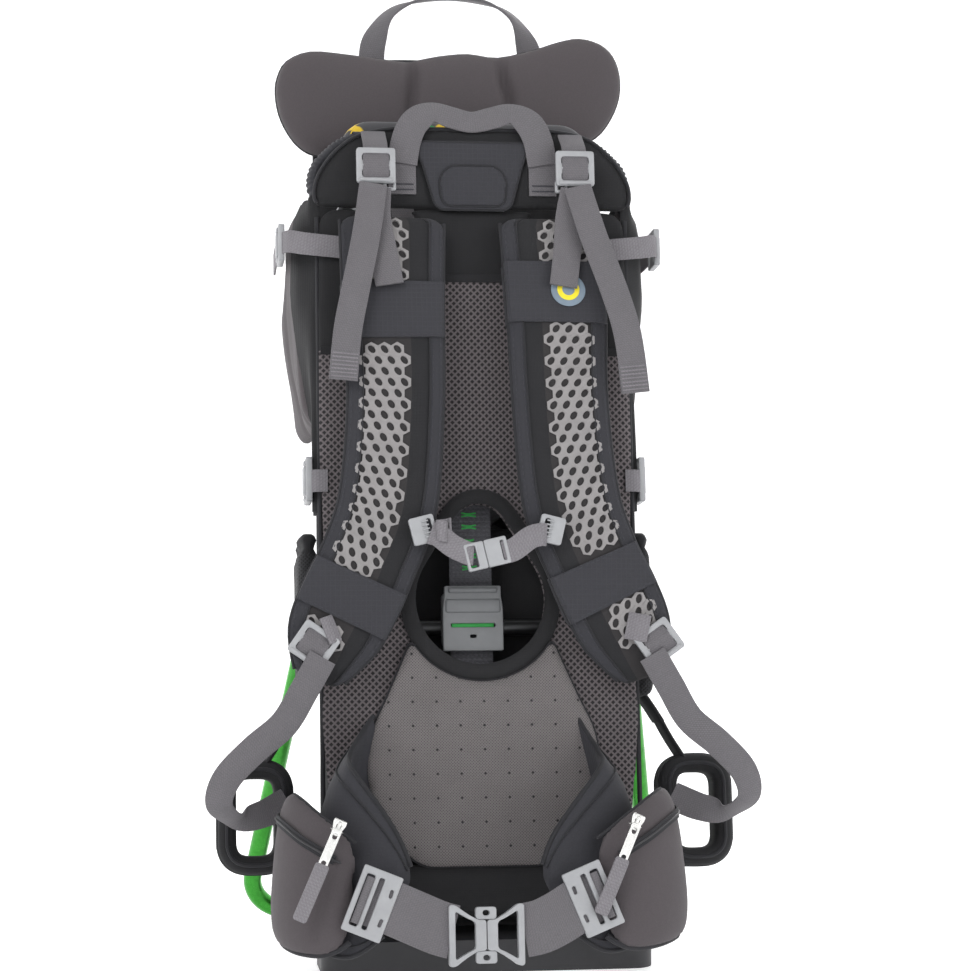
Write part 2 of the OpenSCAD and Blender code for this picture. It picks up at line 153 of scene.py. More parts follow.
def rounded(corners, radius, steps=5):
    """A closed outline with its corners rounded."""
    corners = np.asarray(corners, float)
    made = []
    for i, corner in enumerate(corners):
        before, after = corners[i - 1] - corner, corners[(i + 1) % len(corners)] - corner
        reach = min(radius, 0.48 * np.linalg.norm(before), 0.48 * np.linalg.norm(after))
        start, end = corner + unit(before) * reach, corner + unit(after) * reach
        for t in np.linspace(0, 1, steps):
            made.append((1 - t) ** 2 * start + 2 * t * (1 - t) * corner + t ** 2 * end)
    return np.array(made)


def distance_to(points, line, closed=True):
    """Distance of flat points from a line of flat points."""
    line = np.asarray(line, float)
    ends = np.roll(line, -1, 0) if closed else line[1:]
    starts = line if closed else line[:-1]
    best = np.full(len(points), 1e9)
    for a, b in zip(starts, ends):
        run = b - a
        t = np.clip(((points - a) @ run) / max(run @ run, 1e-12), 0, 1)
        best = np.minimum(best, np.linalg.norm(points - a - t[:, None] * run, axis=1))
    return best


def size(name):
    """One of the carrier's sizes, in millimetres."""
    return getattr(bpy.context.scene.carrier_sizes, name) / MM


class Ribbon:
    """A band along a smooth path, with a width, a thickness and the way that its face looks."""

    def __init__(self, points, widths, thick, faces=FRONT, per=6, closed=False):
        rows = np.zeros((len(points), 8))
        rows[:, :3], rows[:, 3], rows[:, 4] = points, widths, thick
        rows[:, 5:8] = faces
        rows = smooth_rows(rows, per, closed)
        self.closed = closed
        self.centre, self.width, self.thick = rows[:, :3], rows[:, 3], rows[:, 4]
        if closed:
            self.along = unit(np.roll(self.centre, -1, 0) - np.roll(self.centre, 1, 0))
        else:
            self.along = unit(np.gradient(self.centre, axis=0))
        out = rows[:, 5:8] - (rows[:, 5:8] * self.along).sum(1, keepdims=True) * self.along
        self.out = unit(out)
        self.across = np.cross(self.out, self.along)
        self.run = np.concatenate([[0], np.cumsum(np.linalg.norm(np.diff(self.centre, axis=0), axis=1))])

    def pick(self, values, run):
        if values.ndim == 1:
            return np.interp(run, self.run, values)
        return np.stack([np.interp(run, self.run, values[:, k]) for k in range(values.shape[1])], 1)

    def place(self, run, u, lift):
        """Points at a run along the band, at u from -1 to 1 across it and lift off its middle."""
        run, u, lift = (np.atleast_1d(np.asarray(v, float)) for v in (run, u, lift))
        run, u, lift = np.broadcast_arrays(run, u, lift)
        half = self.pick(self.width, run) / 2
        return (self.pick(self.centre, run) + self.pick(self.across, run) * (u * half)[:, None]
                + self.pick(self.out, run) * lift[:, None])


WEB_SECTION = [(-1, -0.4), (-0.93, -1), (0, -1.05), (0.93, -1), (1, -0.4), (1, 0.4), (0.93, 1),
               (0, 1.05), (-0.93, 1), (-1, 0.4)]


def padded_section(front, back=None, count=13):
    """A closed section from how high the front and back stand at each place across."""
    places = np.sin(np.linspace(-math.pi / 2, math.pi / 2, count))
    back = back or front
    return ([(u, -back(u)) for u in places]
            + [(u, front(u)) for u in places[::-1][1:-1]])


class Shell:
    """Collects swept, lofted and ringed surfaces and makes one mesh of them."""

    def __init__(self):
        self.verts, self.faces, self.uvs, self.paints = [], [], [], []

    def add(self, verts, faces, uvs=None, paint=0):
        start = sum(len(v) for v in self.verts)
        verts = np.asarray(verts, float)
        self.verts.append(verts)
        self.uvs.append(np.zeros((len(verts), 2)) if uvs is None else np.asarray(uvs, float))
        self.faces += [[i + start for i in face] for face in faces]
        self.paints += [paint] * len(faces)

    def rings(self, rings, runs=None, closed=False, paint=0, capped=True, sides=None):
        """Joins rings of points into a skin."""
        rings = np.asarray(rings, float)
        rows, per = rings.shape[:2]
        last = rows if closed else rows - 1
        faces = [[i * per + k, i * per + (k + 1) % per, ((i + 1) % rows) * per + (k + 1) % per,
                  ((i + 1) % rows) * per + k] for i in range(last) for k in range(per)]
        if not closed and capped:
            faces += [list(range(per))[::-1], [(rows - 1) * per + k for k in range(per)]]
        runs = np.arange(rows) * 1.0 if runs is None else np.asarray(runs)
        sides = np.zeros(per) if sides is None else np.asarray(sides)
        sides = np.broadcast_to(sides, (rows, per))
        uvs = np.stack([np.repeat(runs, per), sides.ravel()], 1) * MM
        self.add(rings.reshape(-1, 3), faces, uvs, paint)

    def band(self, ribbon, section=WEB_SECTION, paint=0, start=0.0, end=None, lift=0.0, ends=0.0):
        """Sweeps a section along a ribbon, from start to end of its run, its ends rounded by ends."""
        runs = ribbon.run
        end = runs[-1] if end is None else end
        inside = runs[(runs > start + 0.2) & (runs < end - 0.2)]
        runs = np.concatenate([[start], inside, [end]])
        if ends:
            tips = ends * np.array([0.03, 0.15, 0.4, 0.7])
            runs = np.unique(np.concatenate([runs, start + tips, end - tips]))
        u = np.array([s[0] for s in section])
        height = np.array([s[1] for s in section])
        rings = []
        for run in runs:
            near = min(run - start, end - run)
            pinch = 1.0
            if ends and near < ends:
                pinch = math.sqrt(max(1 - (1 - near / ends) ** 2, 0.0004))
            thick = float(ribbon.pick(ribbon.thick, [run])[0]) / 2
            width_pinch = 1 - (1 - pinch) * 0.35 if ends else 1.0
            rings.append(ribbon.place(np.full(len(u), run), u * width_pinch, height * thick * pinch + lift))
        half = float(ribbon.width.mean()) / 2
        self.rings(rings, runs, closed=False, paint=paint, sides=u * half)
        return self

    def loop_band(self, ribbon, section, paint=0):
        """Sweeps a section round a closed ribbon."""
        u = np.array([s[0] for s in section])
        height = np.array([s[1] for s in section])
        rings = [c + a * (u * w / 2)[:, None] + o * (height * t / 2)[:, None]
                 for c, a, o, w, t in zip(ribbon.centre, ribbon.across, ribbon.out, ribbon.width, ribbon.thick)]
        self.rings(rings, ribbon.run, closed=True, paint=paint, sides=u * ribbon.width.mean() / 2)
        return self

    def tube(self, points, radius, sides=8, closed=False, paint=0):
        """A round cord along points, such as piping or a wire."""
        points = np.asarray(points, float)
        if closed:
            along = unit(np.roll(points, -1, 0) - np.roll(points, 1, 0))
        else:
            along = unit(np.gradient(points, axis=0))
        normal = unit(np.cross(along[0], (0.31, 0.17, 0.93)))
        turn = np.linspace(0, 2 * math.pi, sides, endpoint=False)
        rings = []
        for p, t in zip(points, along):
            normal = unit(normal - (normal @ t) * t)
            other = np.cross(t, normal)
            rings.append(p + radius * (np.cos(turn)[:, None] * normal + np.sin(turn)[:, None] * other))
        runs = np.concatenate([[0], np.cumsum(np.linalg.norm(np.diff(points, axis=0), axis=1))])
        self.rings(rings, runs, closed=closed, paint=paint, sides=turn * radius)
        return self

    def stitches(self, ribbon, u, start, end, lift, pitch=4.2, length=2.6, width=0.7, paint=0):
        """A row of stitches along a ribbon."""
        for run in np.arange(start, end - length, pitch):
            runs = run + length * np.array([0, 0.3, 0.7, 1])
            half = float(ribbon.pick(ribbon.width, [run])[0]) / 2
            rise = np.array([-0.1, 0.35, 0.35, -0.1])
            left = ribbon.place(runs, u - width / 2 / half, lift + rise * 0.6)
            right = ribbon.place(runs, u + width / 2 / half, lift + rise * 0.6)
            base = ribbon.place(runs, u, lift - 0.4)
            self.add(np.concatenate([left, right, base]),
                     [[i, i + 1, i + 5, i + 4] for i in range(3)]
                     + [[i + 4, i + 5, i + 9, i + 8] for i in range(3)]
                     + [[i + 8, i + 9, i + 1, i] for i in range(3)] + [[0, 4, 8], [3, 11, 7]], paint=paint)
        return self

    def make(self, name, *paints, smooth=45):
        mesh = bpy.data.meshes.new(name)
        verts = at(np.concatenate(self.verts))
        mesh.from_pydata(verts.tolist(), [], self.faces)
        layer = mesh.uv_layers.new(name="UVMap")
        uvs = np.concatenate(self.uvs)
        loops = np.zeros(len(mesh.loops), int)
        mesh.loops.foreach_get("vertex_index", loops)
        layer.data.foreach_set("uv", uvs[loops].ravel())
        mesh.polygons.foreach_set("material_index", self.paints)
        for paint in paints:
            mesh.materials.append(paint)
        face_out(mesh)
        piece = bpy.data.objects.new(name, mesh)
        bpy.context.scene.collection.objects.link(piece)
        smooth_by_angle(piece, smooth)
        return piece


def placed(piece, body, slot, *nodes, fill=None):
    """Rides a finished piece on a body and hides the nodes that it stands for; its slot is not used."""
    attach(piece, body)
    if nodes:
        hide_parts(*nodes)
    return piece


def stuffed(name, outline, low, high, *paints, holes=(), edge=14, thin=0.25, dome=0.0, grain=4.0,
            seams=(), shape=None, choose=None, relax=3):
    """A stuffed panel with a flat outline, between two depths. It thins towards its edge seam and
    dips along each of its seams, which are a line, a width and a depth from 0 to 1."""
    solid = bmesh.new()
    edges = []
    for loop in (outline, *holes):
        ring = [solid.verts.new((x, low, z)) for x, z in loop]
        edges += [solid.edges.new((ring[i - 1], ring[i])) for i in range(len(ring))]
    bmesh.ops.triangle_fill(solid, use_beauty=True, use_dissolve=False, edges=edges)
    grown = bmesh.ops.extrude_face_region(solid, geom=solid.faces[:])["geom"]
    for item in grown:
        if isinstance(item, bmesh.types.BMVert):
            item.co.y = high
    bmesh.ops.recalc_face_normals(solid, faces=solid.faces)
    mesh = bpy.data.meshes.new(name)
    solid.to_mesh(mesh)
    solid.free()
    piece = bpy.data.objects.new(name, mesh)
    bpy.context.scene.collection.objects.link(piece)
    mesher = piece.modifiers.new("mesher", "REMESH")
    mesher.mode, mesher.voxel_size = "VOXEL", grain
    if relax:
        calm = piece.modifiers.new("calm", "SMOOTH")
        calm.factor, calm.iterations = 0.5, relax
    apply_modifiers(piece)
    points = coordinates(piece)
    flat = points[:, [0, 2]]
    near = distance_to(flat, outline)
    for hole in holes:
        near = np.minimum(near, distance_to(flat, hole))
    fall = np.clip(near / edge, 0, 1)
    factor = thin + (1 - thin) * np.sqrt(np.clip(1 - (1 - fall) ** 2, 0, 1))
    factor *= 1 - dome + dome * np.sqrt(np.clip(near / max(near.max(), 1e-6), 0, 1))
    for line, width, depth in seams:
        factor *= 1 - depth * np.exp(-(distance_to(flat, line, closed=False) / width) ** 2)
    middle = (low + high) / 2
    points[:, 1] = middle + (points[:, 1] - middle) * factor
    if shape:
        points = np.stack(shape(points[:, 0], points[:, 1], points[:, 2]), 1)
    set_coordinates(piece, at(points))
    for paint in paints:
        piece.data.materials.append(paint)
    if choose:
        centres = np.array([p.center for p in piece.data.polygons]) @ TILT / MM
        piece.data.polygons.foreach_set("material_index", choose(centres).astype(int))
    face_out(piece.data)
    make_active(piece)
    bpy.ops.object.shade_smooth()
    return piece


def swell(piece, held, pressure, cap, tension=15.0, frames=20):
    """Inflates a soft piece by cloth simulation. Where held is true the seam stays put, and no
    point moves further than cap, in millimetres."""
    start = coordinates(piece)
    seams = piece.vertex_groups.new(name="seams")
    seams.add([int(i) for i in np.nonzero(held(start @ TILT / MM))[0]], 1.0, "REPLACE")
    cloth = piece.modifiers.new("swell", "CLOTH")
    rules = cloth.settings
    rules.quality = 4
    rules.mass = 0.2
    rules.tension_stiffness = rules.compression_stiffness = tension
    rules.bending_stiffness = 0.4
    rules.vertex_group_mass = "seams"
    rules.use_pressure = True
    rules.uniform_pressure_force = pressure
    rules.effector_weights.gravity = 0
    cloth.point_cache.frame_start, cloth.point_cache.frame_end = 1, frames
    for step in range(1, frames + 1):
        bpy.context.scene.frame_set(step)
    evaluated = piece.evaluated_get(bpy.context.evaluated_depsgraph_get())
    moved = np.array([v.co for v in evaluated.data.vertices]) - start
    far = np.linalg.norm(moved, axis=1, keepdims=True)
    moved *= np.minimum(1, cap * MM / np.maximum(far, 1e-9))
    piece.modifiers.remove(cloth)
    piece.vertex_groups.remove(seams)
    set_coordinates(piece, start + moved)
    bpy.context.scene.frame_set(1)
    return piece


def plate(name, columns, rows, gone, thick, corner=2.0, edge=0.6, warp=None, extra=None):
    """A moulded plate modelled flat from a grid: cells in gone are cut out, its corners and edges
    are rounded, and extra adds more to the same mesh before it is finished."""
    clear_selection()
    bpy.ops.mesh.primitive_grid_add(x_subdivisions=len(columns) - 1, y_subdivisions=len(rows) - 1, size=2)
    piece = bpy.context.object
    piece.name = piece.data.name = name
    for vertex in piece.data.vertices:
        i = round((vertex.co.x + 1) / 2 * (len(columns) - 1))
        k = round((vertex.co.y + 1) / 2 * (len(rows) - 1))
        x, z = columns[i], rows[k]
        if warp:
            x, z = warp(x, z)
        vertex.co = Vector((x, z, 0)) * MM
    bpy.ops.object.mode_set(mode="EDIT")
    mesh = bmesh.from_edit_mesh(piece.data)
    mesh.faces.ensure_lookup_table()
    wide = len(columns) - 1
    for face in mesh.faces:
        face.select_set((face.index % wide, face.index // wide) in gone)
    bmesh.update_edit_mesh(piece.data)
    if gone:
        bpy.ops.mesh.delete(type="FACE")
    bpy.ops.mesh.select_all(action="SELECT")
    bpy.ops.mesh.extrude_region_move(TRANSFORM_OT_translate={"value": (0, 0, thick * MM)})
    bpy.ops.mesh.select_all(action="SELECT")
    bpy.ops.mesh.normals_make_consistent(inside=False)
    if corner:
        bpy.ops.mesh.select_all(action="DESELECT")
        mesh = bmesh.from_edit_mesh(piece.data)
        for line in mesh.edges:
            upright = abs(line.verts[0].co.z - line.verts[1].co.z) > thick * MM * 0.5
            if upright and len(line.link_faces) == 2 and line.calc_face_angle(0) > 0.6:
                line.select_set(True)
        bmesh.update_edit_mesh(piece.data)
        bpy.ops.mesh.bevel(offset=corner * MM, segments=3, affect="EDGES", clamp_overlap=True)
    bpy.ops.object.mode_set(mode="OBJECT")
    piece.data.transform(Matrix.Translation((0, 0, -thick * MM / 2)))
    if extra:
        extra(piece)
    round_edges(piece, edge)
    return piece


def round_edges(piece, edge, segments=2):
    """Rounds a moulding's sharp edges for good."""
    rounding = piece.modifiers.new("rounding", "BEVEL")
    rounding.width, rounding.segments = edge * MM, segments
    rounding.limit_method, rounding.angle_limit = "ANGLE", math.radians(38)
    apply_modifiers(piece)
    smooth_by_angle(piece, 50)


def bar(centre, size, bevel=0.6, turn=None):
    """A moulded bar: a cube primitive, its long edges bevelled in edit mode. Metres from mm."""
    clear_selection()
    bpy.ops.mesh.primitive_cube_add(size=1, location=(0, 0, 0))
    piece = bpy.context.object
    piece.data.transform(Matrix.Diagonal((*(np.array(size) * MM), 1)))
    bpy.ops.object.mode_set(mode="EDIT")
    bpy.ops.mesh.select_all(action="SELECT")
    bpy.ops.mesh.bevel(offset=bevel * MM, segments=2, affect="EDGES")
    bpy.ops.object.mode_set(mode="OBJECT")
    if turn is not None:
        piece.data.transform(turn)
    piece.data.transform(Matrix.Translation(Vector(centre) * MM))
    return piece


def joined(main, *others):
    make_active(main)
    for other in others:
        other.select_set(True)
    bpy.context.view_layer.objects.active = main
    bpy.ops.object.join()
    return main


def stand(piece, centre, right=ACROSS, out=FRONT):
    """Stands a flat plate in the pack: its x along right, its thickness along out, at centre."""
    right, out = unit(right), unit(out)
    right = unit(right - (right @ out) * out)
    top = np.cross(out, right)
    turn = Matrix(np.stack([right, top, out], 1).tolist()).to_4x4()
    piece.data.transform(turn)
    piece.data.transform(Matrix.Translation(Vector(centre) * MM))
    piece.data.transform(Matrix(TILT.tolist()).to_4x4())
    return piece


def painted(piece, paint):
    piece.data.materials.clear()
    piece.data.materials.append(paint)
    return piece


# ---- finishes ----

WAVE_PERIOD = 2 * math.pi / 20


class Finish:
    """Builds one procedural material node by node."""

    def __init__(self, name, colour, rough, metallic=0.0, sheen=0.0, coat=0.0):
        self.material = bpy.data.materials.new(name)
        self.material.use_nodes = True
        self.tree = self.material.node_tree
        self.shader = self.tree.nodes["Principled BSDF"]
        self.colour = (*colour[:3], 1.0)
        self.shader.inputs["Base Color"].default_value = self.colour
        self.shader.inputs["Roughness"].default_value = rough
        self.shader.inputs["Metallic"].default_value = metallic
        self.shader.inputs["Sheen Weight"].default_value = sheen
        self.shader.inputs["Coat Weight"].default_value = coat
        self.material.diffuse_color = self.colour
        self.rough = rough
        self.normal = None

    def node(self, kind, inputs=(), **settings):
        made = self.tree.nodes.new(kind)
        for key, value in settings.items():
            setattr(made, key, value)
        for key, value in dict(inputs).items():
            if isinstance(value, bpy.types.NodeSocket):
                self.tree.links.new(value, made.inputs[key])
            else:
                made.inputs[key].default_value = value
        return made

    def on_object(self, turn=(0, 0, 0), scale=(1, 1, 1)):
        place = self.node("ShaderNodeTexCoord").outputs["Object"]
        return self.node("ShaderNodeMapping", {"Vector": place, "Rotation": turn, "Scale": scale}).outputs[0]

    def on_face(self, spin=0.0):
        """Object coordinates turned so that the pack's face is the pattern's flat plane."""
        return self.on_object(turn=(math.radians(-90) + LEAN, 0, spin))

    def on_cloth(self, spin=0.0):
        place = self.node("ShaderNodeTexCoord").outputs["UV"]
        return self.node("ShaderNodeMapping", {"Vector": place, "Rotation": (0, 0, spin)}).outputs[0]

    def noise(self, place, size_mm, detail=3.0, rough=0.5):
        return self.node("ShaderNodeTexNoise", {"Vector": place, "Scale": 1000 / size_mm,
                                                "Detail": detail, "Roughness": rough}).outputs["Fac"]

    def wave(self, place, period_mm, direction="X", profile="SIN", waver=0.0):
        return self.node("ShaderNodeTexWave", {"Vector": place, "Scale": WAVE_PERIOD * 1000 / period_mm,
                                               "Distortion": waver, "Detail": 1.0},
                         bands_direction=direction, wave_profile=profile).outputs["Fac"]

    def cells(self, place, pitch_mm, metric="EUCLIDEAN", random=0.0, output="Distance"):
        return self.node("ShaderNodeTexVoronoi", {"Vector": place, "Scale": 1000 / pitch_mm, "Randomness": random},
                         voronoi_dimensions="2D", distance=metric).outputs[output]

    def ramp(self, value, *stops):
        made = self.node("ShaderNodeValToRGB", {"Fac": value})
        ends = made.color_ramp.elements
        while len(ends) < len(stops):
            ends.new(0.5)
        for end, (place, shade) in zip(ends, stops):
            end.position = place
            end.color = (*shade, 1) if hasattr(shade, "__len__") else (shade, shade, shade, 1)
        return made.outputs["Color"]

    def maths(self, how, a, b=0.5):
        return self.node("ShaderNodeMath", {0: a, 1: b}, operation=how).outputs[0]

    def blend(self, share, a, b, how="MIX"):
        made = self.node("ShaderNodeMix", data_type="RGBA", blend_type=how)
        for socket, value in ((made.inputs[0], share), (made.inputs[6], a), (made.inputs[7], b)):
            if isinstance(value, bpy.types.NodeSocket):
                self.tree.links.new(value, socket)
            elif hasattr(value, "__len__"):
                socket.default_value = (*value[:3], 1)
            else:
                socket.default_value = value
        return made.outputs[2]

    def shade(self, factor):
        return tuple(min(c * factor, 1.0) for c in self.colour[:3])

    def paint(self, colour):
        self.tree.links.new(colour, self.shader.inputs["Base Color"])
        return self

    def roughen(self, value, low, high):
        scaled = self.node("ShaderNodeMapRange", {"Value": value, "To Min": low, "To Max": high})
        self.tree.links.new(scaled.outputs[0], self.shader.inputs["Roughness"])
        return self

    def raised(self, height, strength, depth_mm):
        inputs = {"Height": height, "Strength": strength, "Distance": depth_mm * MM}
        if self.normal:
            inputs["Normal"] = self.normal
        self.normal = self.node("ShaderNodeBump", inputs).outputs[0]
        self.tree.links.new(self.normal, self.shader.inputs["Normal"])
        return self


def woven(name, colour, weave=1.6, rough=0.85, sheen=0.04, mottle=0.16, folds=0.35, fold_size=45,
          check=0.0, check_light=1.5, on_cloth=False):
    """Cloth with a weave, soft folds and a little uneven colour, and a ripstop check if asked. The gaps between the
    yarns are darkened as painted shade.
    """
    made = Finish(name, colour, rough, sheen=sheen)
    place = made.on_cloth() if on_cloth else made.on_face()
    solid = made.on_object()
    yarn = made.maths("MULTIPLY", made.wave(place, weave, "X", waver=0.6), made.wave(place, weave, "Y", waver=0.6))
    patchy = made.noise(solid, 38, 4, 0.6)
    fuzz = made.noise(solid, 1.3, 2, 0.7)
    base = made.blend(patchy, made.shade(1 - mottle), made.shade(1 + mottle))
    base = made.blend(made.ramp(fuzz, (0.35, 0.0), (0.75, 0.55)), base, made.shade(1.45))
    # Painted shade: the gaps between the yarns, where the weave bump is low, are darkened
    base = made.blend(made.ramp(yarn, (0.0, 0.30), (0.45, 0.0)), base, made.shade(0.6))
    if check:
        lines = made.maths("MAXIMUM", made.ramp(made.wave(place, check, "X", "SAW"), (0.0, 1.0), (0.16, 0.0)),
                           made.ramp(made.wave(place, check, "Y", "SAW"), (0.0, 1.0), (0.16, 0.0)))
        base = made.blend(lines, base, made.shade(check_light))
        made.raised(lines, 0.5, 0.25)
    made.paint(base).roughen(patchy, rough - 0.07, min(rough + 0.07, 1.0))
    made.raised(yarn, 0.45, 0.3)
    if folds:
        made.raised(made.noise(solid, fold_size, 3, 0.45), folds, 4.0)
    return made.material


def webbing_finish(name, colour, rib=2.0, depth=0.4, sheen=0.05):
    """Woven webbing with ribs across it, a herringbone and a few light flecks."""
    made = Finish(name, colour, 0.78, sheen=sheen)
    place = made.on_cloth()
    solid = made.on_object()
    ribs = made.wave(place, rib, "X", waver=0.25)
    twill = made.wave(made.on_cloth(math.radians(52)), rib * 0.9, "X", waver=0.3)
    yarn = made.maths("MULTIPLY", ribs, twill)
    patchy = made.noise(solid, 22, 4, 0.6)
    base = made.blend(patchy, made.shade(0.84), made.shade(1.14))
    # Painted shade: the grooves between the ribs, where the bump is low, are darkened
    base = made.blend(made.ramp(yarn, (0.0, 0.55), (0.5, 0.0)), base, made.shade(0.62))
    base = made.blend(made.ramp(made.noise(solid, 1.0, 2, 0.7), (0.45, 0.0), (0.8, 0.6)), base, made.shade(1.4))
    made.paint(base).roughen(patchy, 0.7, 0.9).raised(yarn, depth, 0.35)
    return made.material


def mesh_finish(name, colour, opening_shade, pitch, open_share=0.34, dots=0.0, diamond=True):
    """Knitted mesh: a lattice of yarn round openings painted dark as shade, with punched dots, also painted dark as
    shade, if asked.
    """
    made = Finish(name, colour, 0.85, sheen=0.03)
    place = made.on_face(math.radians(45))
    solid = made.on_object()
    metric = "CHEBYCHEV" if diamond else "EUCLIDEAN"
    far = made.cells(place, pitch / math.sqrt(2), metric)
    yarn = made.ramp(far, (open_share - 0.05, 0.0), (open_share + 0.06, 1.0))
    patchy = made.noise(solid, 30, 4, 0.6)
    base = made.blend(patchy, made.shade(0.82), made.shade(1.18))
    base = made.blend(made.ramp(made.noise(solid, 0.9, 2, 0.7), (0.4, 0.0), (0.8, 0.5)), base, made.shade(1.5))
    # Painted shade: the openings between the yarns take the dark opening colour
    base = made.blend(yarn, opening_shade, base)
    made.raised(yarn, 0.8, 0.9)
    if dots:
        dot = made.ramp(made.cells(made.on_face(), dots), (0.035, 0.0), (0.065, 1.0))
        # Painted shade: the punched dots are coloured near black
        base = made.blend(dot, (0.012, 0.012, 0.014), base)
        made.raised(dot, 0.9, 1.2)
    made.paint(base).raised(made.noise(solid, 60, 3, 0.45), 0.35, 5.0)
    return made.material


def moulded(name, colour, rough=0.38, grain=0.8, coat=0.0, grain_depth=0.05):
    """Moulded plastic or rubber with a fine grain, faint swirls and dulled patches."""
    made = Finish(name, colour, rough, coat=coat)
    solid = made.on_object()
    swirl = made.noise(solid, 16, 4, 0.65)
    made.paint(made.blend(made.ramp(swirl, (0.25, 0.0), (0.8, 1.0)), made.shade(0.88), made.shade(1.08)))
    made.roughen(made.noise(solid, 5, 3, 0.7), rough - 0.06, rough + 0.12)
    made.raised(made.noise(solid, grain, 2, 0.6), 0.25, grain_depth)
    return made.material


def metal(name, colour, rough=0.3, brush=(1, 1, 1), wear=0.15):
    """Drawn or turned metal with fine lines along it and a few dull scuffs."""
    made = Finish(name, colour, rough, metallic=1.0)
    lines = made.noise(made.on_object(scale=brush), 0.9, 3, 0.6)
    scuff = made.noise(made.on_object(), 9, 5, 0.7)
    base = made.blend(made.ramp(scuff, (0.5, 0.0), (0.75, 1.0)), made.colour, made.shade(1 - wear))
    made.paint(base).roughen(scuff, rough - 0.08, rough + 0.14).raised(lines, 0.18, 0.04)
    return made.material


def patterned(name, colour):
    """Dark lining with a loose pattern of small yellow and green flecks."""
    made = Finish(name, colour, 0.85, sheen=0.2)
    place = made.on_object(scale=(1.0, 1.4, 2.6))
    pick = made.node("ShaderNodeSeparateColor",
                     {"Color": made.cells(place, 21, "EUCLIDEAN", 0.8, "Color")}).outputs[0]
    fleck = made.ramp(made.cells(place, 21, "MANHATTAN", 0.8), (0.42, 1.0), (0.5, 0.0))
    tint = made.ramp(pick, (0.0, (0.62, 0.42, 0.02)), (0.38, (0.62, 0.42, 0.02)), (0.42, (0.02, 0.24, 0.06)),
                     (0.68, (0.02, 0.24, 0.06)), (0.72, made.colour[:3]))
    solid = made.on_object()
    base = made.blend(made.noise(solid, 25, 3, 0.6), made.shade(0.85), made.shade(1.15))
    made.paint(made.blend(fleck, base, tint)).raised(made.noise(solid, 1.2, 2, 0.7), 0.4, 0.3)
    return made.material


def make_finishes(colours):
    """Every finish of the carrier by name."""
    soft, dark, navy = colours.softshell, colours.black_fabric, colours.navy_fabric
    web = tuple(colours.webbing)
    return {
        "softshell": woven("softshell", soft, 0.9, 0.8, 0.05, 0.12, 0.45, 60),
        "black": woven("black_fabric", dark, 1.5, 0.88, 0.03, 0.25, 0.4, 50),
        "navy": woven("navy_ripstop", navy, 1.2, 0.82, 0.04, 0.15, 0.3, 40, check=4.4, check_light=1.28),
        "navy_plain": woven("navy_binding", navy, 1.1, 0.85, 0.04, 0.18, 0.25, 30),
        "lining": woven("lining_fabric", PAINT["lining_fabric"], 2.0, 0.9, 0.1, 0.15, 0.3, 40),
        "strap_black": woven("strap_black", tuple(c * 0.3 for c in PAINT["strap_fabric"]), 1.3, 0.88, 0.03, 0.2, 0.3, 40),
        "piping": woven("piping", tuple(c * 0.55 for c in navy), 0.9, 0.82, 0.03, 0.2, 0.0),
        "flecked": patterned("face_pad_print", PAINT["lining_fabric"]),
        "webbing": webbing_finish("webbing", web),
        "webbing_light": webbing_finish("webbing_light", tuple(c * 1.5 for c in web), 2.6, 0.6),
        "ladder": webbing_finish("ladder_webbing", PAINT["ladder_webbing"], 4.0, 1.0, 0.1),
        # The second colour of each mesh finish is the painted shade in its openings
        "mesh": mesh_finish("spacer_mesh", PAINT["spacer_mesh"], (0.010, 0.009, 0.010), 6.2, 0.30),
        "lumbar": mesh_finish("lumbar_mesh", tuple(c * 0.75 for c in PAINT["lumbar_mesh"]), (0.05, 0.045, 0.047), 2.6, 0.24, dots=21.0),
        "pocket_mesh": mesh_finish("pocket_mesh", PAINT["black_fabric"], (0.004, 0.004, 0.004), 3.4, 0.30),
        "lattice": moulded("strap_lattice", (0.235, 0.225, 0.225), 0.7, 0.9, grain_depth=0.12),
        "lattice_floor": woven("lattice_floor", (0.022, 0.020, 0.021), 1.2, 0.9, 0.03, 0.2, 0.0),
        "plastic": moulded("grey_plastic", colours.plastic, 0.36),
        "slider": moulded("slider_plastic", tuple(c * 0.55 for c in PAINT["slider_plastic"]), 0.42),
        "black_plastic": moulded("black_plastic", PAINT["black_plastic"], 0.48, 0.7, grain_depth=0.1),
        "rubber": moulded("black_rubber", PAINT["black_rubber"], 0.7, 1.1, grain_depth=0.15),
        "green_print": moulded("green_print", (0.02, 0.30, 0.05), 0.6),
        "disc_grey": moulded("disc_grey", (0.16, 0.21, 0.26), 0.6),
        "disc_yellow": moulded("disc_yellow", (0.75, 0.62, 0.02), 0.6),
        "frame": metal("frame_metal", PAINT["frame_metal"], 0.34, (1, 1, 0.05)),
        "dark_tube": metal("dark_tube", tuple(c * 0.12 for c in PAINT["frame_metal"]), 0.4, (0.05, 1, 1)),
        "steel": moulded("bracket_steel", PAINT["bracket_steel"], 0.42, 0.6, grain_depth=0.12),
        "bright": metal("bright_metal", PAINT["bright_metal"], 0.24),
        "green": metal("green_anodised", colours.kickstand, 0.26, (0.05, 1, 1), 0.3),
        "thread": woven("thread", tuple(min(c * 1.35, 1) for c in navy), 0.8, 0.8, 0.03, 0.1, 0.0),
    }


FINISH = {}


def finish(name):
    """A finish by name, made the first time that one is asked for."""
    if not FINISH:
        FINISH.update(make_finishes(bpy.context.scene.carrier_colours))
    return FINISH[name]


# ---- frame, back panel and top ----

HOLE_LOW, HOLE_HIGH = (0, 321, 58), (0, 382, 25)


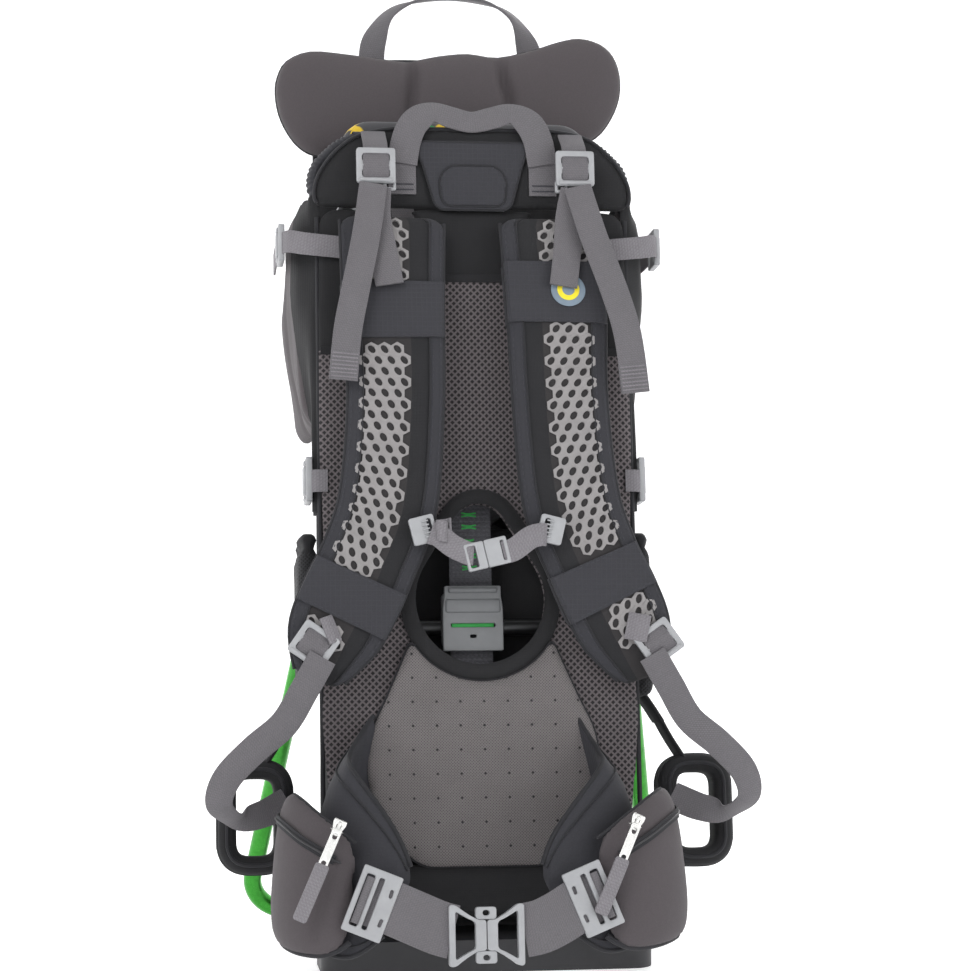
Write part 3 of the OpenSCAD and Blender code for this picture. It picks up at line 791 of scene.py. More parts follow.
def hole_outline(extra=0.0, count=56):
    """The egg-shaped opening of the back panel: two circles and the lines that touch both."""
    turn = np.linspace(0, 2 * math.pi, 240, endpoint=False)
    circles = [np.stack([c[0] + (c[2] + extra) * np.cos(turn), c[1] + (c[2] + extra) * np.sin(turn)], 1)
               for c in (HOLE_LOW, HOLE_HIGH)]
    middle = np.array([0, 345.0])
    reach = [np.max(np.concatenate(circles) @ (math.cos(a), math.sin(a)) - middle @ (math.cos(a), math.sin(a)))
             for a in turn]
    ways = np.stack([np.cos(turn), np.sin(turn)], 1)
    ends = [middle + ray * min(r / max(ray @ way, 1e-6) for r, way in zip(reach, ways) if ray @ way > 0.05)
            for ray in ways]
    every = np.array(ends)
    run = np.concatenate([[0], np.cumsum(np.linalg.norm(np.diff(np.vstack([every, every[:1]]), axis=0), axis=1))])
    picks = np.linspace(0, run[-1], count, endpoint=False)
    loop = np.vstack([every, every[:1]])
    return np.stack([np.interp(picks, run, loop[:, k]) for k in (0, 1)], 1)


def rim_ring(loop, depth, wide, tall, count=10):
    """Rings of a soft binding round a flat loop: wide is half its width, tall half its depth."""
    along = unit(np.roll(loop, -1, 0) - np.roll(loop, 1, 0))
    out = np.stack([along[:, 1], -along[:, 0]], 1)
    turn = np.linspace(0, 2 * math.pi, count, endpoint=False)
    wide = np.broadcast_to(wide, len(loop))
    return np.array([[(p[0] + n[0] * w * math.cos(t), depth + tall * math.sin(t), p[1] + n[1] * w * math.cos(t))
                      for t in turn] for p, n, w in zip(loop, out, wide)])


def runs_of(points, closed=True):
    points = np.asarray(points, float)
    if closed:
        points = np.vstack([points, points[:1]])
    return np.concatenate([[0], np.cumsum(np.linalg.norm(np.diff(points, axis=0), axis=1))])


def mirrored(points):
    points = np.asarray(points, float).copy()
    points[..., 0] *= -1
    return points


def finish_frame():
    """Gives the CAD tubes, brackets, boot and pins their metal, moulding and soft edges."""
    wanted = {"back_frame": "frame", "cross_tubes": "dark_tube", "cockpit_hoop": "dark_tube", "hinge_brackets": "steel",
              "frame_rivets": "bright", "base_boot": "black_plastic", "kickstand_tube": "green",
              "kickstand_pins": "bright", "kickstand_feet": "rubber", "yoke_plate": "black_plastic"}
    soft = {"hinge_brackets": 0.6, "base_boot": 1.6, "kickstand_feet": 1.2, "yoke_plate": 0.6,
            "frame_rivets": 0.5, "kickstand_pins": 0.5}
    for name, paint in wanted.items():
        node = frame["nodes"][name]
        painted(node, finish(paint))
        weld = node.modifiers.new("weld", "WELD")
        weld.merge_threshold = 0.00002
        if name in soft:
            rounding = node.modifiers.new("rounding", "BEVEL")
            rounding.width, rounding.segments = soft[name] * MM, 2
            rounding.limit_method, rounding.angle_limit = "ANGLE", math.radians(35)


def make_back_panel():
    """Spacer mesh panel with its black yoke cover, the bound opening and the lumbar pad."""
    slots = [[(s * a, z) for a, z in ((52, 590), (104, 590), (104, 674), (52, 674))] for s in (-1, 1)]
    edge = rounded([(-140, 676), (-141, 455), (-138, 357), (-141, 200), (-128, 94),
                    (128, 94), (141, 200), (138, 357), (141, 455), (140, 676)], 22)

    def is_cover(c):
        side = (np.abs(c[:, 0]) > 106) & (c[:, 2] > 545)
        return side | ((c[:, 2] > 612) & (c[:, 1] < 8))

    channels = [([(s * 118, 250), (s * 112, 420), (s * 116, 590)], 5, 0.30) for s in (-1, 1)]
    panel = stuffed("back_panel_mesh", edge, -0.5, 10.5, finish("mesh"), finish("black"), holes=(hole_outline(), *slots),
                    edge=11, thin=0.45, grain=3.6, seams=channels, choose=is_cover)
    placed(panel, "pack", "spacer_mesh", "back_panel", fill=0.5)

    loop = hole_outline(6.5)
    low = np.clip((345 - loop[:, 1]) / 80, 0, 1)
    rim = Shell()
    rim.rings(rim_ring(loop, -3.6, 6.4 + 1.6 * low, 3.6), runs_of(loop)[:-1], closed=True)
    for extra, lift in ((12.5, -3.9), (1.2, -4.4)):
        line = hole_outline(extra)
        rim.tube(np.stack([line[:, 0], np.full(len(line), lift), line[:, 1]], 1), 0.7, 6, closed=True, paint=1)
    placed(rim.make("opening_rim", finish("black"), finish("piping")), "pack", "black_fabric", "panel_rim", fill=0.7)

    tapes = Shell()
    for x0, x1, z in ((-34, 34, 612), (-139, -108, 545), (108, 139, 545)):
        tapes.band(Ribbon([(x0, -0.9, z), ((x0 + x1) / 2, -1.2, z), (x1, -0.9, z)], 7, 1.4))
    for s in (-1, 1):
        side = [(s * 140.6, 5, z) for z in (110, 200, 330, 455, 560, 668)]
        tapes.tube(smooth_rows(side, 5), 2.2, 8, paint=1)
    placed(tapes.make("panel_bindings", finish("strap_black"), finish("piping")), "pack", "spacer_mesh")

    arc = [(72.5 * math.cos(a), 321 + 72.5 * math.sin(a)) for a in np.radians(np.linspace(-30, -150, 17))]
    lumbar = [*arc, *[(x, z) for x, z in ((-84, 236), (-98, 208), (-104, 176), (-99, 142), (-84, 110), (-54, 88),
                                          (54, 88), (84, 110), (99, 142), (104, 176), (98, 208), (84, 236))]]
    pad = stuffed("lumbar_pad_mesh", rounded(lumbar, 9, 4), -15.5, -0.5, finish("lumbar"), edge=20, thin=0.28, grain=3.4)
    placed(pad, "pack", "lumbar_mesh", "lumbar_pad", fill=0.6)
    line = np.array(rounded(lumbar, 9, 4))
    seam = Shell()
    seam.tube(np.stack([line[:, 0] * 1.004, np.full(len(line), -6.4), line[:, 1]], 1), 1.5, 8, closed=True)
    placed(seam.make("lumbar_piping", finish("piping")), "pack", "navy_fabric")

    base = stuffed("base_panel_cover", rounded([(-104, 90), (-96, 44), (96, 44), (104, 90)], 14), -9.5, 8, finish("black"),
                   edge=13, thin=0.3, grain=3.6, seams=[([(-96, 66), (96, 66)], 4, 0.16)])
    placed(base, "pack", "black_fabric", "base_panel", fill=0.5)


def make_top():
    """Padded top panel, its ripstop cover patch, the ribbed rim bolster and the face pad."""
    outline = rounded([(-144, 677), (-143, 700), (-130, 722), (-108, 742), (-76, 750), (76, 750),
                       (108, 744), (132, 722), (145, 698), (144, 677)], 14)
    seams = [([(s * 60, 750), (s * 46, 728), (s * 38, 700), (s * 36, 677)], 4, 0.35) for s in (-1, 1)]
    pad = stuffed("top_panel_pad", outline, -3.6, 11.5, finish("black"), edge=16, thin=0.35, grain=3.4, seams=seams)
    placed(pad, "pack", "black_fabric", "top_panel", fill=0.6)
    line = Shell()
    edge = np.array([p for p in outline if p[1] > 679])
    edge = edge[np.argsort(np.arctan2(edge[:, 0], edge[:, 1] - 640))]
    line.tube(np.stack([edge[:, 0], np.full(len(edge), -1.6), edge[:, 1]], 1), 1.7, 8)
    placed(line.make("top_panel_piping", finish("piping")), "pack", "black_fabric")

    patch = rounded([(-55, 737), (-46, 718), (-40, 696), (-34, 674), (34, 674), (40, 696), (46, 718), (55, 737)], 9, 6)
    cover = stuffed("cover_patch_cloth", patch, -7.0, -3.8, finish("navy"), edge=4, thin=0.5, grain=1.7, relax=2)
    inner = rounded([(-29, 677), (-31, 704), (-21, 715), (21, 715), (31, 704), (29, 677)], 11, 6)
    placed(cover, "pack", "navy_fabric", "cover_patch")
    second = stuffed("cover_patch_pocket", inner, -8.4, -6.6, finish("navy"), edge=3, thin=0.4, grain=1.6, relax=2)
    placed(second, "pack", "navy_fabric")
    hems = Shell()
    for loop, depth, r in ((patch, -6.0, 1.1), (inner, -7.6, 0.9)):
        hems.tube(np.stack([loop[:, 0], np.full(len(loop), depth), loop[:, 1]], 1), r, 6, closed=True)
    placed(hems.make("cover_patch_hems", finish("piping")), "pack", "navy_fabric")

    arch = rounded([(-142, 690), (-142, 716), (-112, 746), (112, 746), (142, 716), (142, 690)], 34, 12)[6:-6]
    arch = smooth_rows([(x, 24, z) for x, z in arch], 6)
    run = runs_of(arch, closed=False)
    along = unit(np.gradient(arch, axis=0))
    out = np.stack([-along[:, 2], np.zeros(len(along)), along[:, 0]], 1)
    out *= np.sign((out * (arch - np.array([0, 24, 680]))).sum(1))[:, None]
    corner = np.clip(1.6 - np.abs(np.abs(arch[:, 0]) - 128) / 22, 0, 1)
    turn = np.linspace(0, 2 * math.pi, 16, endpoint=False)
    rings = [p + o[None] * ((6.2 + 0.7 * c * math.sin(r * 1.5)) * np.cos(turn))[:, None]
             + np.array([0, 1, 0]) * (12.6 * np.sin(turn))[:, None] for p, o, r, c in zip(arch, out, run, corner)]
    rim = Shell()
    rim.rings(rings, run)
    placed(rim.make("rim_bolster_cover", finish("navy_plain")), "pack", "navy_fabric", "rim_bolster", fill=0.7)

    face = stuffed("face_pad_cushion", rounded([(-118, 692), (-121, 740), (-104, 769), (104, 769), (121, 740),
                                                (118, 692)], 18), 38, 56, finish("flecked"), edge=14, thin=0.3, grain=4,
                   seams=[([(x, 690), (x, 766)], 4, 0.3) for x in (-62, 0, 62)])
    placed(face, "pack", "lining_fabric", "face_pad", fill=0.7)


# ---- cockpit, bag and seat ----

def make_cockpit():
    """Side walls, rear wall, storage bag and side pockets."""
    profile = np.array([(485, 146), (500, 152), (550, 159), (600, 165), (670, 163), (694, 152)], float)
    wall = rounded([(38, 486), (38, 640), (46, 692), (150, 690), (176, 668), (176, 500), (170, 486)], 14)
    for s, side in ((-1, "left"), (1, "right")):
        def curve(a, d, b, s=s):
            sag = 1.6 * np.sin(a / 17 + b / 46) + 1.3 * np.sin(b / 23 - a / 31)
            return s * (np.interp(b, profile[:, 0], profile[:, 1]) - 8 - d + sag), a, b
        creases = [([(60, 690), (66, 600), (58, 490)], 5, 0.4), ([(118, 690), (112, 600), (122, 490)], 6, 0.35),
                   ([(40, 668), (176, 660)], 4, 0.3)]
        piece = stuffed(f"cockpit_wall_{side}", wall, -6, 6, finish("softshell"), edge=9, thin=0.4, grain=4,
                        seams=creases, shape=curve)
        placed(piece, "pack", "softshell", f"cockpit_side_{side}", fill=0.3)
        top = Shell()
        rail = [(s * (np.interp(z, profile[:, 0], profile[:, 1]) - 7), v, z)
                for v, z in ((42, 684), (60, 693), (100, 692), (150, 691), (170, 676))]
        top.tube(smooth_rows(rail, 6), 4.2, 10)
        placed(top.make(f"cockpit_rim_{side}", finish("piping")), "pack", "black_fabric")

        gusset = Shell()
        rings = []
        heights = np.linspace(402, 688, 22)
        for z in heights:
            outer = np.interp(z, profile[:, 0], profile[:, 1]) - 2
            line = smooth_rows([(139.5, 6), (147, 12 + 2 * math.sin(z / 19)), (outer - 5, 26), (outer, 42)], 5)
            back = line[::-1] - np.array([2.2, -0.4])
            rings.append([(s * x, y, z) for x, y in (*line, *back)])
        gusset.rings(rings, heights)
        placed(gusset.make(f"side_gusset_{side}", finish("black")), "pack", "black_fabric", fill=0.2)

    rear = rounded([(-128, 302), (-128, 820), (-110, 862), (-60, 868), (60, 868), (110, 862), (128, 820), (128, 302)], 34)
    seams = [([(-126, z), (126, z)], 5, 0.5) for z in (430, 560, 690)]
    seams += [([(s * 96, 300), (s * 96, 850)], 4, 0.35) for s in (-1, 1)]
    wall = stuffed("cockpit_back", rear, 176.5, 189, finish("black"), finish("softshell"), edge=12, thin=0.35, grain=5.5,
                   seams=seams, choose=lambda c: (c[:, 1] > 184) & (c[:, 2] > 690) & (np.abs(c[:, 0]) < 96))
    placed(wall, "pack", "black_fabric", "cockpit_rear", fill=0.5)
    line = Shell()
    line.tube(np.stack([rear[:, 0], np.full(len(rear), 183), rear[:, 1]], 1), 2.6, 8, closed=True)
    for z in (428, 562):
        line.tube([(x, 189.3 + 0.6 * math.cos(x / 60), z) for x in np.linspace(-92, 92, 12)], 0.8, 6)
    placed(line.make("cockpit_back_piping", finish("piping")), "pack", "black_fabric")

    levels = [(34, 0.90, 0), (40, 0.97, 0), (70, 1.0, 5), (150, 1.0, 9), (230, 0.99, 8), (300, 0.97, 5),
              (360, 0.93, 1), (388, 0.88, -3), (393, 0.80, -5)]
    levels = smooth_rows(levels, 4)
    loop = rounded([(-131, 55), (131, 55), (131, 171), (-131, 171)], 30, 7)
    bag = Shell()
    rings = []
    for z, size, sag in levels:
        ring = [(x * size, 113 + (y - 113) * size + (sag if y > 120 else 0) * math.cos(x / 131 * 1.2), z) for x, y in loop]
        rings.append(ring)
    bag.rings(rings, levels[:, 0])
    piece = bag.make("storage_bag_shell", finish("black"))
    mesher = piece.modifiers.new("mesher", "REMESH")
    mesher.mode, mesher.voxel_size = "VOXEL", 6.5 * MM
    apply_modifiers(piece)
    swell(piece, lambda p: (np.abs(p[:, 2] - 215) > 168) | ((np.abs(np.abs(p[:, 0]) - 118) < 4) & (p[:, 1] > 130))
          | (p[:, 1] < 62), 3.0, 7)
    smooth_by_angle(piece, 180)
    placed(piece, "pack", "black_fabric", "storage_bag", fill=0.4)
    zips = Shell()
    path = rounded([(-104, 120), (-104, 330), (104, 330), (104, 120)], 40, 10)[10:-10]
    back = 171 + 8 * np.cos(path[:, 0] / 131 * 1.2)
    track = np.stack([path[:, 0], back + 2.5, path[:, 1]], 1)
    zips.band(Ribbon(track, 9, 2.2, (0, 1, 0), per=3))
    zips.tube(smooth_rows(track + np.array([0, 1.5, 0]), 3), 1.3, 6, paint=1)
    placed(zips.make("storage_bag_zip", finish("piping"), finish("black_plastic")), "pack", "black_fabric")

    for s, side in ((-1, "left"), (1, "right")):
        outline = rounded([(18, 236), (16, 372), (22, 385), (72, 378), (77, 366), (75, 236)], 12)
        pocket = stuffed(f"side_pocket_{side}", outline, -9, 9, finish("pocket_mesh"), finish("black"), edge=12, thin=0.35,
                         grain=4, seams=[([(14, 372), (80, 366)], 5, 0.45)],
                         shape=lambda a, d, b, s=s: (s * (151 - d + 1.2 * np.sin(a / 5) * np.clip((b - 340) / 40, 0, 1)), a, b),
                         choose=lambda c: c[:, 2] > 364)
        placed(pocket, "pack", "black_fabric", *(["side_pockets"] if side == "left" else []), fill=0.3)


HEAD_OUTLINE = [(-159, 857), (-136, 867), (-101, 865), (-66, 861), (-40, 859), (-9, 865), (20, 868), (50, 865), (87, 874),
                (111, 882), (132, 886), (152, 881), (165, 869), (171, 850), (170, 828), (161, 806), (145, 787),
                (118, 778), (70, 781), (30, 784), (-20, 782), (-70, 774), (-112, 765), (-133, 765), (-148, 773),
                (-159, 787), (-167, 805), (-170, 825), (-168, 841)]
HEAD_SEAMS = [[(-40, 862), (-36, 842), (-38, 821), (-42, 780)], [(52, 868), (49, 856), (51, 840), (57, 818), (54, 780)]]


def make_head_support():
    """Three-lobed head support cushion, its lobes drawn in at two sewn seams."""
    outline = smooth_rows([(x * 0.985, z) for x, z in HEAD_OUTLINE], 3, closed=True)
    seams = [(line, 4.5, 0.62) for line in HEAD_SEAMS]
    cushion = stuffed("head_support_cushion", outline, 136, 172, finish("softshell"), edge=30, thin=0.16, grain=4.4,
                      seams=seams)

    def held(p):
        flat = p[:, [0, 2]]
        near = distance_to(flat, outline) < 3.0
        for line in HEAD_SEAMS:
            near |= distance_to(flat, line, closed=False) < 3.0
        return near

    swell(cushion, held, 4.0, 7)
    smooth_by_angle(cushion, 180)
    placed(cushion, "pack", "softshell", "head_support", fill=0.8)
    lines = Shell()
    lines.tube(np.stack([outline[:, 0], np.full(len(outline), 154), outline[:, 1]], 1), 1.1, 6, closed=True)
    placed(lines.make("head_support_seam", finish("piping")), "pack", "softshell")


def make_seat():
    """Child seat cushion with its front pad, and the child's harness."""
    seat = stuffed("seat_cushion", rounded([(-90, 64), (-90, 156), (90, 156), (90, 64)], 24), 401, 433, finish("lining"),
                   edge=16, thin=0.3, grain=4.5, seams=[([(x, 60), (x, 160)], 5, 0.35) for x in (-34, 34)],
                   shape=lambda a, d, b: (a, b, d))
    swell(seat, lambda p: distance_to(p[:, :2], [(-90, 64), (-90, 156), (90, 156), (90, 64)]) < 6, 3.0, 5)
    placed(seat, "seat", "lining_fabric", "child_seat", fill=0.7)
    nose = stuffed("seat_front_pad", rounded([(-30, 430), (-28, 488), (28, 488), (30, 430)], 12), 59, 81, finish("lining"),
                   edge=11, thin=0.35, grain=4)
    placed(nose, "seat", "lining_fabric", fill=0.7)
    straps = Shell()
    for s in (-1, 1):
        straps.band(Ribbon([(s * 45, 176, 738), (s * 43, 174, 690), (s * 41, 174, 652), (s * 43, 167, 634),
                            (s * 45, 162, 618), (s * 34, 160, 540), (s * 14, 150, 500)], 22, 2.2))
    placed(straps.make("child_harness_webbing", finish("webbing")), "seat", "webbing", "child_harness")
    for s, side in ((-1, "left"), (1, "right")):
        pad = Shell()
        path = Ribbon([(s * 45, 168, 700), (s * 42, 166, 655), (s * 43.5, 157.5, 620), (s * 38, 155.5, 566)],
                      [36, 40, 40, 36], [9, 11, 11, 9])
        pad.band(path, padded_section(lambda u: (1 - abs(u) ** 4) ** 0.5 + 0.08), ends=9)
        placed(pad.make(f"child_harness_pad_{side}", finish("lining")), "seat", "lining_fabric", fill=0.6)
    buckle = plate("child_harness_buckle", [-22, -15, -6, 6, 15, 22], [-17, -8, 8, 17], {(2, 1)}, 9, 4, 0.9)
    painted(stand(buckle, (0, 150, 482)), finish("black_plastic"))
    placed(buckle, "seat", "webbing")
    button = plate("child_harness_button", [-7, 0, 7], [-8.5, 0, 8.5], set(), 6, 3, 0.9)
    painted(stand(button, (0, 148.5, 482)), finish("plastic"))
    placed(button, "seat", "grey_plastic")


# ---- shoulder harness ----

STRAP_PATH = [(72, -15.5, 664), (71, -34, 583), (71, -43, 492), (79, -43, 404), (97, -41, 352),
              (113, -38, 318), (129, -34, 284), (141, -32, 248)]
STRAP_WIDTHS = [95, 90, 85, 86, 84, 86, 78, 40]
STRAP_LEAN = {"left": -6, "right": -2}
LATTICE = (-0.30, 0.66)
BANDS = {"left": ((66, 118), (332, 374)), "right": (((46, 103)), (318, 360))}


def strap_ribbon(side):
    """The path of a shoulder strap; its u runs from the inner edge to the outer one."""
    s = -1 if side == "left" else 1
    path = [(s * x + (STRAP_LEAN[side] if i else -3), y, z) for i, (x, y, z) in enumerate(STRAP_PATH)]
    ribbon = Ribbon(path, STRAP_WIDTHS, 14, per=9)
    ribbon.across *= s
    return ribbon


def strap_front(u):
    """How the strap's front stands: a wide crowned edge and a shallow middle for the lattice."""
    crown = max(1 - abs(u) ** 5, 0) ** 0.5
    dip = 0.20 if -0.70 < u < 0.68 else 0.0
    return crown * (1.0 - dip) * (0.92 + 0.08 * math.cos(u * 2))


def make_shoulder_straps():
    """Padded shoulder straps with bound edges, an air lattice and two sewn bands each."""
    pitch, row = size("lattice_pitch"), size("lattice_row")
    for side in ("left", "right"):
        ribbon = strap_ribbon(side)
        length = ribbon.run[-1]
        pad = Shell()
        places = [-1, -0.985, -0.94, -0.86, -0.76, -0.705, -0.69, -0.5, -0.32, -0.1, 0.15, 0.4, 0.60, 0.67, 0.685,
                  0.78, 0.88, 0.95, 0.985, 1]
        section = [(u, -max(1 - abs(u) ** 4, 0) ** 0.5 * 0.9) for u in places]
        section += [(u, strap_front(u)) for u in places[::-1][1:-1]]
        pad.band(ribbon, section, ends=14)
        piece = pad.make(f"shoulder_strap_{side}_pad", finish("navy_plain"), finish("strap_black"), finish("lattice_floor"),
                         smooth=60)
        centres = np.array([p.center for p in piece.data.polygons]) @ TILT / MM
        normals = np.array([p.normal for p in piece.data.polygons]) @ TILT
        nearest = np.argmin(((centres[:, None] - ribbon.centre[None]) ** 2).sum(2), axis=1)
        u = ((centres - ribbon.centre[nearest]) * ribbon.across[nearest]).sum(1) / (ribbon.width[nearest] / 2)
        front = (normals * ribbon.out[nearest]).sum(1) > 0.2
        paint = np.zeros(len(centres), int)
        paint[front & (u > -0.70) & (u < LATTICE[0])] = 1
        paint[front & (u >= LATTICE[0]) & (u < 0.675)] = 2
        paint[~front] = 1
        piece.data.polygons.foreach_set("material_index", paint)
        placed(piece, "harness", "strap_fabric", f"shoulder_strap_{side}", fill=0.6)

        trim = Shell()
        for u, lift, r in ((-0.985, 0.4, 1.9), (0.985, 0.4, 1.9), (-0.70, 6.1, 0.9), (0.68, 6.1, 0.9)):
            run = np.linspace(5, length - 5, 70)
            trim.tube(ribbon.place(run, u, lift), r, 7)
        for u in (-0.76, -0.92, 0.76, 0.92):
            trim.stitches(ribbon, u, 8, length - 12, 6.6 if abs(u) < 0.8 else 5.0, pitch=5.5, paint=1)
        placed(trim.make(f"strap_{side}_trim", finish("piping"), finish("thread")), "harness", "strap_fabric")

        lattice = Shell()
        columns, rows = 5, int(length / row)
        angles = np.linspace(0, 2 * math.pi, 12, endpoint=False)
        slant = math.radians(38)
        bands = BANDS[side]
        for k in range(rows):
            run = 10 + row * k
            if run > length - 26 or any(a - 3 < run < b + 3 for a, b in bands):
                continue
            half = float(ribbon.pick(ribbon.width, [run])[0]) / 2
            for c in range(columns):
                across = LATTICE[0] * half + pitch * (c + 0.5 * (k % 2))
                if across > LATTICE[1] * half or across < LATTICE[0] * half + 2:
                    continue
                hexes = np.stack([np.cos(angles + math.pi / 6), np.sin(angles + math.pi / 6)], 1)
                outer = hexes / np.cos((angles % (math.pi / 3)) - math.pi / 6)[:, None]
                outer = outer * np.array([pitch / 2, row / 1.5]) * np.array([1.0, 0.866])
                oval = np.stack([np.cos(angles) * 2.6, np.sin(angles) * 3.9], 1)
                turn = slant * (1 if side == "left" else 1)
                spun = np.stack([oval[:, 0] * math.cos(turn) - oval[:, 1] * math.sin(turn),
                                 oval[:, 0] * math.sin(turn) + oval[:, 1] * math.cos(turn)], 1)
                order = np.argsort(np.arctan2(spun[:, 1], spun[:, 0]))
                spun = spun[order]
                outer = outer[np.argsort(np.arctan2(outer[:, 1], outer[:, 0]))]
                def put(ring, lift):
                    return ribbon.place(run + ring[:, 1], (across + ring[:, 0]) / half, lift)
                top, inner, low, skirt = put(outer, 6.5), put(spun * 1.12, 6.9), put(spun, 4.9), put(outer, 4.9)
                verts = np.concatenate([skirt, top, inner, low])
                faces = [[a * 12 + i, a * 12 + (i + 1) % 12, (a + 1) * 12 + (i + 1) % 12, (a + 1) * 12 + i]
                         for a in (0, 1, 2, 3) for i in range(12)]
                faces = [[v % 48 for v in face] for face in faces]
                lattice.add(verts, faces)
        placed(lattice.make(f"strap_{side}_lattice", finish("lattice"), smooth=30), "harness", "strap_fabric")

        sewn = Shell()
        wrap = padded_section(lambda u: 1.0 if abs(u) < 0.93 else 0.75, lambda u: 1.06, 17)
        for a, b in bands:
            cut = Ribbon(ribbon.centre[::3], ribbon.width[::3] + 1.5, 16.4, per=3)
            sewn.band(cut, wrap, start=a, end=b)
            for edge in (a + 2.2, b - 2.2):
                for u in np.linspace(-0.86, 0.86, 14):
                    run = np.full(4, edge)
                    half = float(ribbon.pick(ribbon.width, [edge])[0]) / 2
                    us = u + np.array([-1.6, -0.6, 0.6, 1.6]) / half
                    rise = 8.3 + np.array([-0.1, 0.3, 0.3, -0.1])
                    left, right = ribbon.place(run - 0.4, us, rise), ribbon.place(run + 0.4, us, rise)
                    low = ribbon.place(run, us, 7.7)
                    sewn.add(np.concatenate([left, right, low]),
                             [[i, i + 1, i + 5, i + 4] for i in range(3)] + [[i + 4, i + 5, i + 9, i + 8] for i in range(3)]
                             + [[i + 8, i + 9, i + 1, i] for i in range(3)] + [[0, 4, 8], [3, 11, 7]], paint=1)
        placed(sewn.make(f"strap_{side}_bands", finish("navy"), finish("thread"), smooth=35), "harness", "strap_fabric")
        tab = Shell()
        s = -1 if side == "left" else 1
        low = ribbon.place([length * 0.885, length * 0.93], [0.02, 0.10], [8.6, 8.8])
        lock = np.array([s * 142, -49.2, 290.0])
        tab.band(Ribbon([low[0], (low[0] + lock) / 2 + np.array([0, -1.5, 0]), lock], 24, 2.2))
        placed(tab.make(f"strap_{side}_tab", finish("webbing_light")), "harness", "webbing")

    badge = bpy.ops.mesh.primitive_cylinder_add
    ribbon = strap_ribbon("right")
    centre = ribbon.place([74], [0.22], [8.6])[0]
    out = ribbon.pick(ribbon.out, [74])[0]
    for name, radius, lift, paint in (("strap_badge", 15.5, 0.5, "disc_grey"), ("strap_badge_ring", 10.0, 1.2, "disc_yellow"),
                                      ("strap_badge_dot", 5.6, 1.9, "disc_grey")):
        clear_selection()
        badge(vertices=48, radius=radius * MM, depth=0.9 * MM, end_fill_type="NGON")
        disc = bpy.context.object
        disc.name = disc.data.name = name
        bpy.ops.object.mode_set(mode="EDIT")
        bpy.ops.mesh.select_all(action="DESELECT")
        mesh = bmesh.from_edit_mesh(disc.data)
        for face in mesh.faces:
            face.select_set(face.normal.z > 0.9)
        bmesh.update_edit_mesh(disc.data)
        bpy.ops.mesh.inset(thickness=1.2 * MM)
        bpy.ops.transform.translate(value=(0, 0, 0.35 * MM))
        bpy.ops.object.mode_set(mode="OBJECT")
        round_edges(disc, 0.2)
        painted(stand(disc, centre + out * lift, out=out), finish(paint))
        placed(disc, "harness", "strap_fabric")


# ---- webbing ----

LOWER_LOOP = [(144, -50.5, 268), (160, -49, 240), (177, -44, 212), (203, -42, 190), (226, -36, 166), (232, -26, 144),
              (217, -8, 132), (194, 2, 136), (171, 12, 147)]
LOWER_FACES = [(0, -1, 0)] * 4 + [(0.15, -1, 0), (0.4, -1, 0), (0.8, -1, -0.6), (0.2, -1, -0.4), (0.3, -1, 0)]


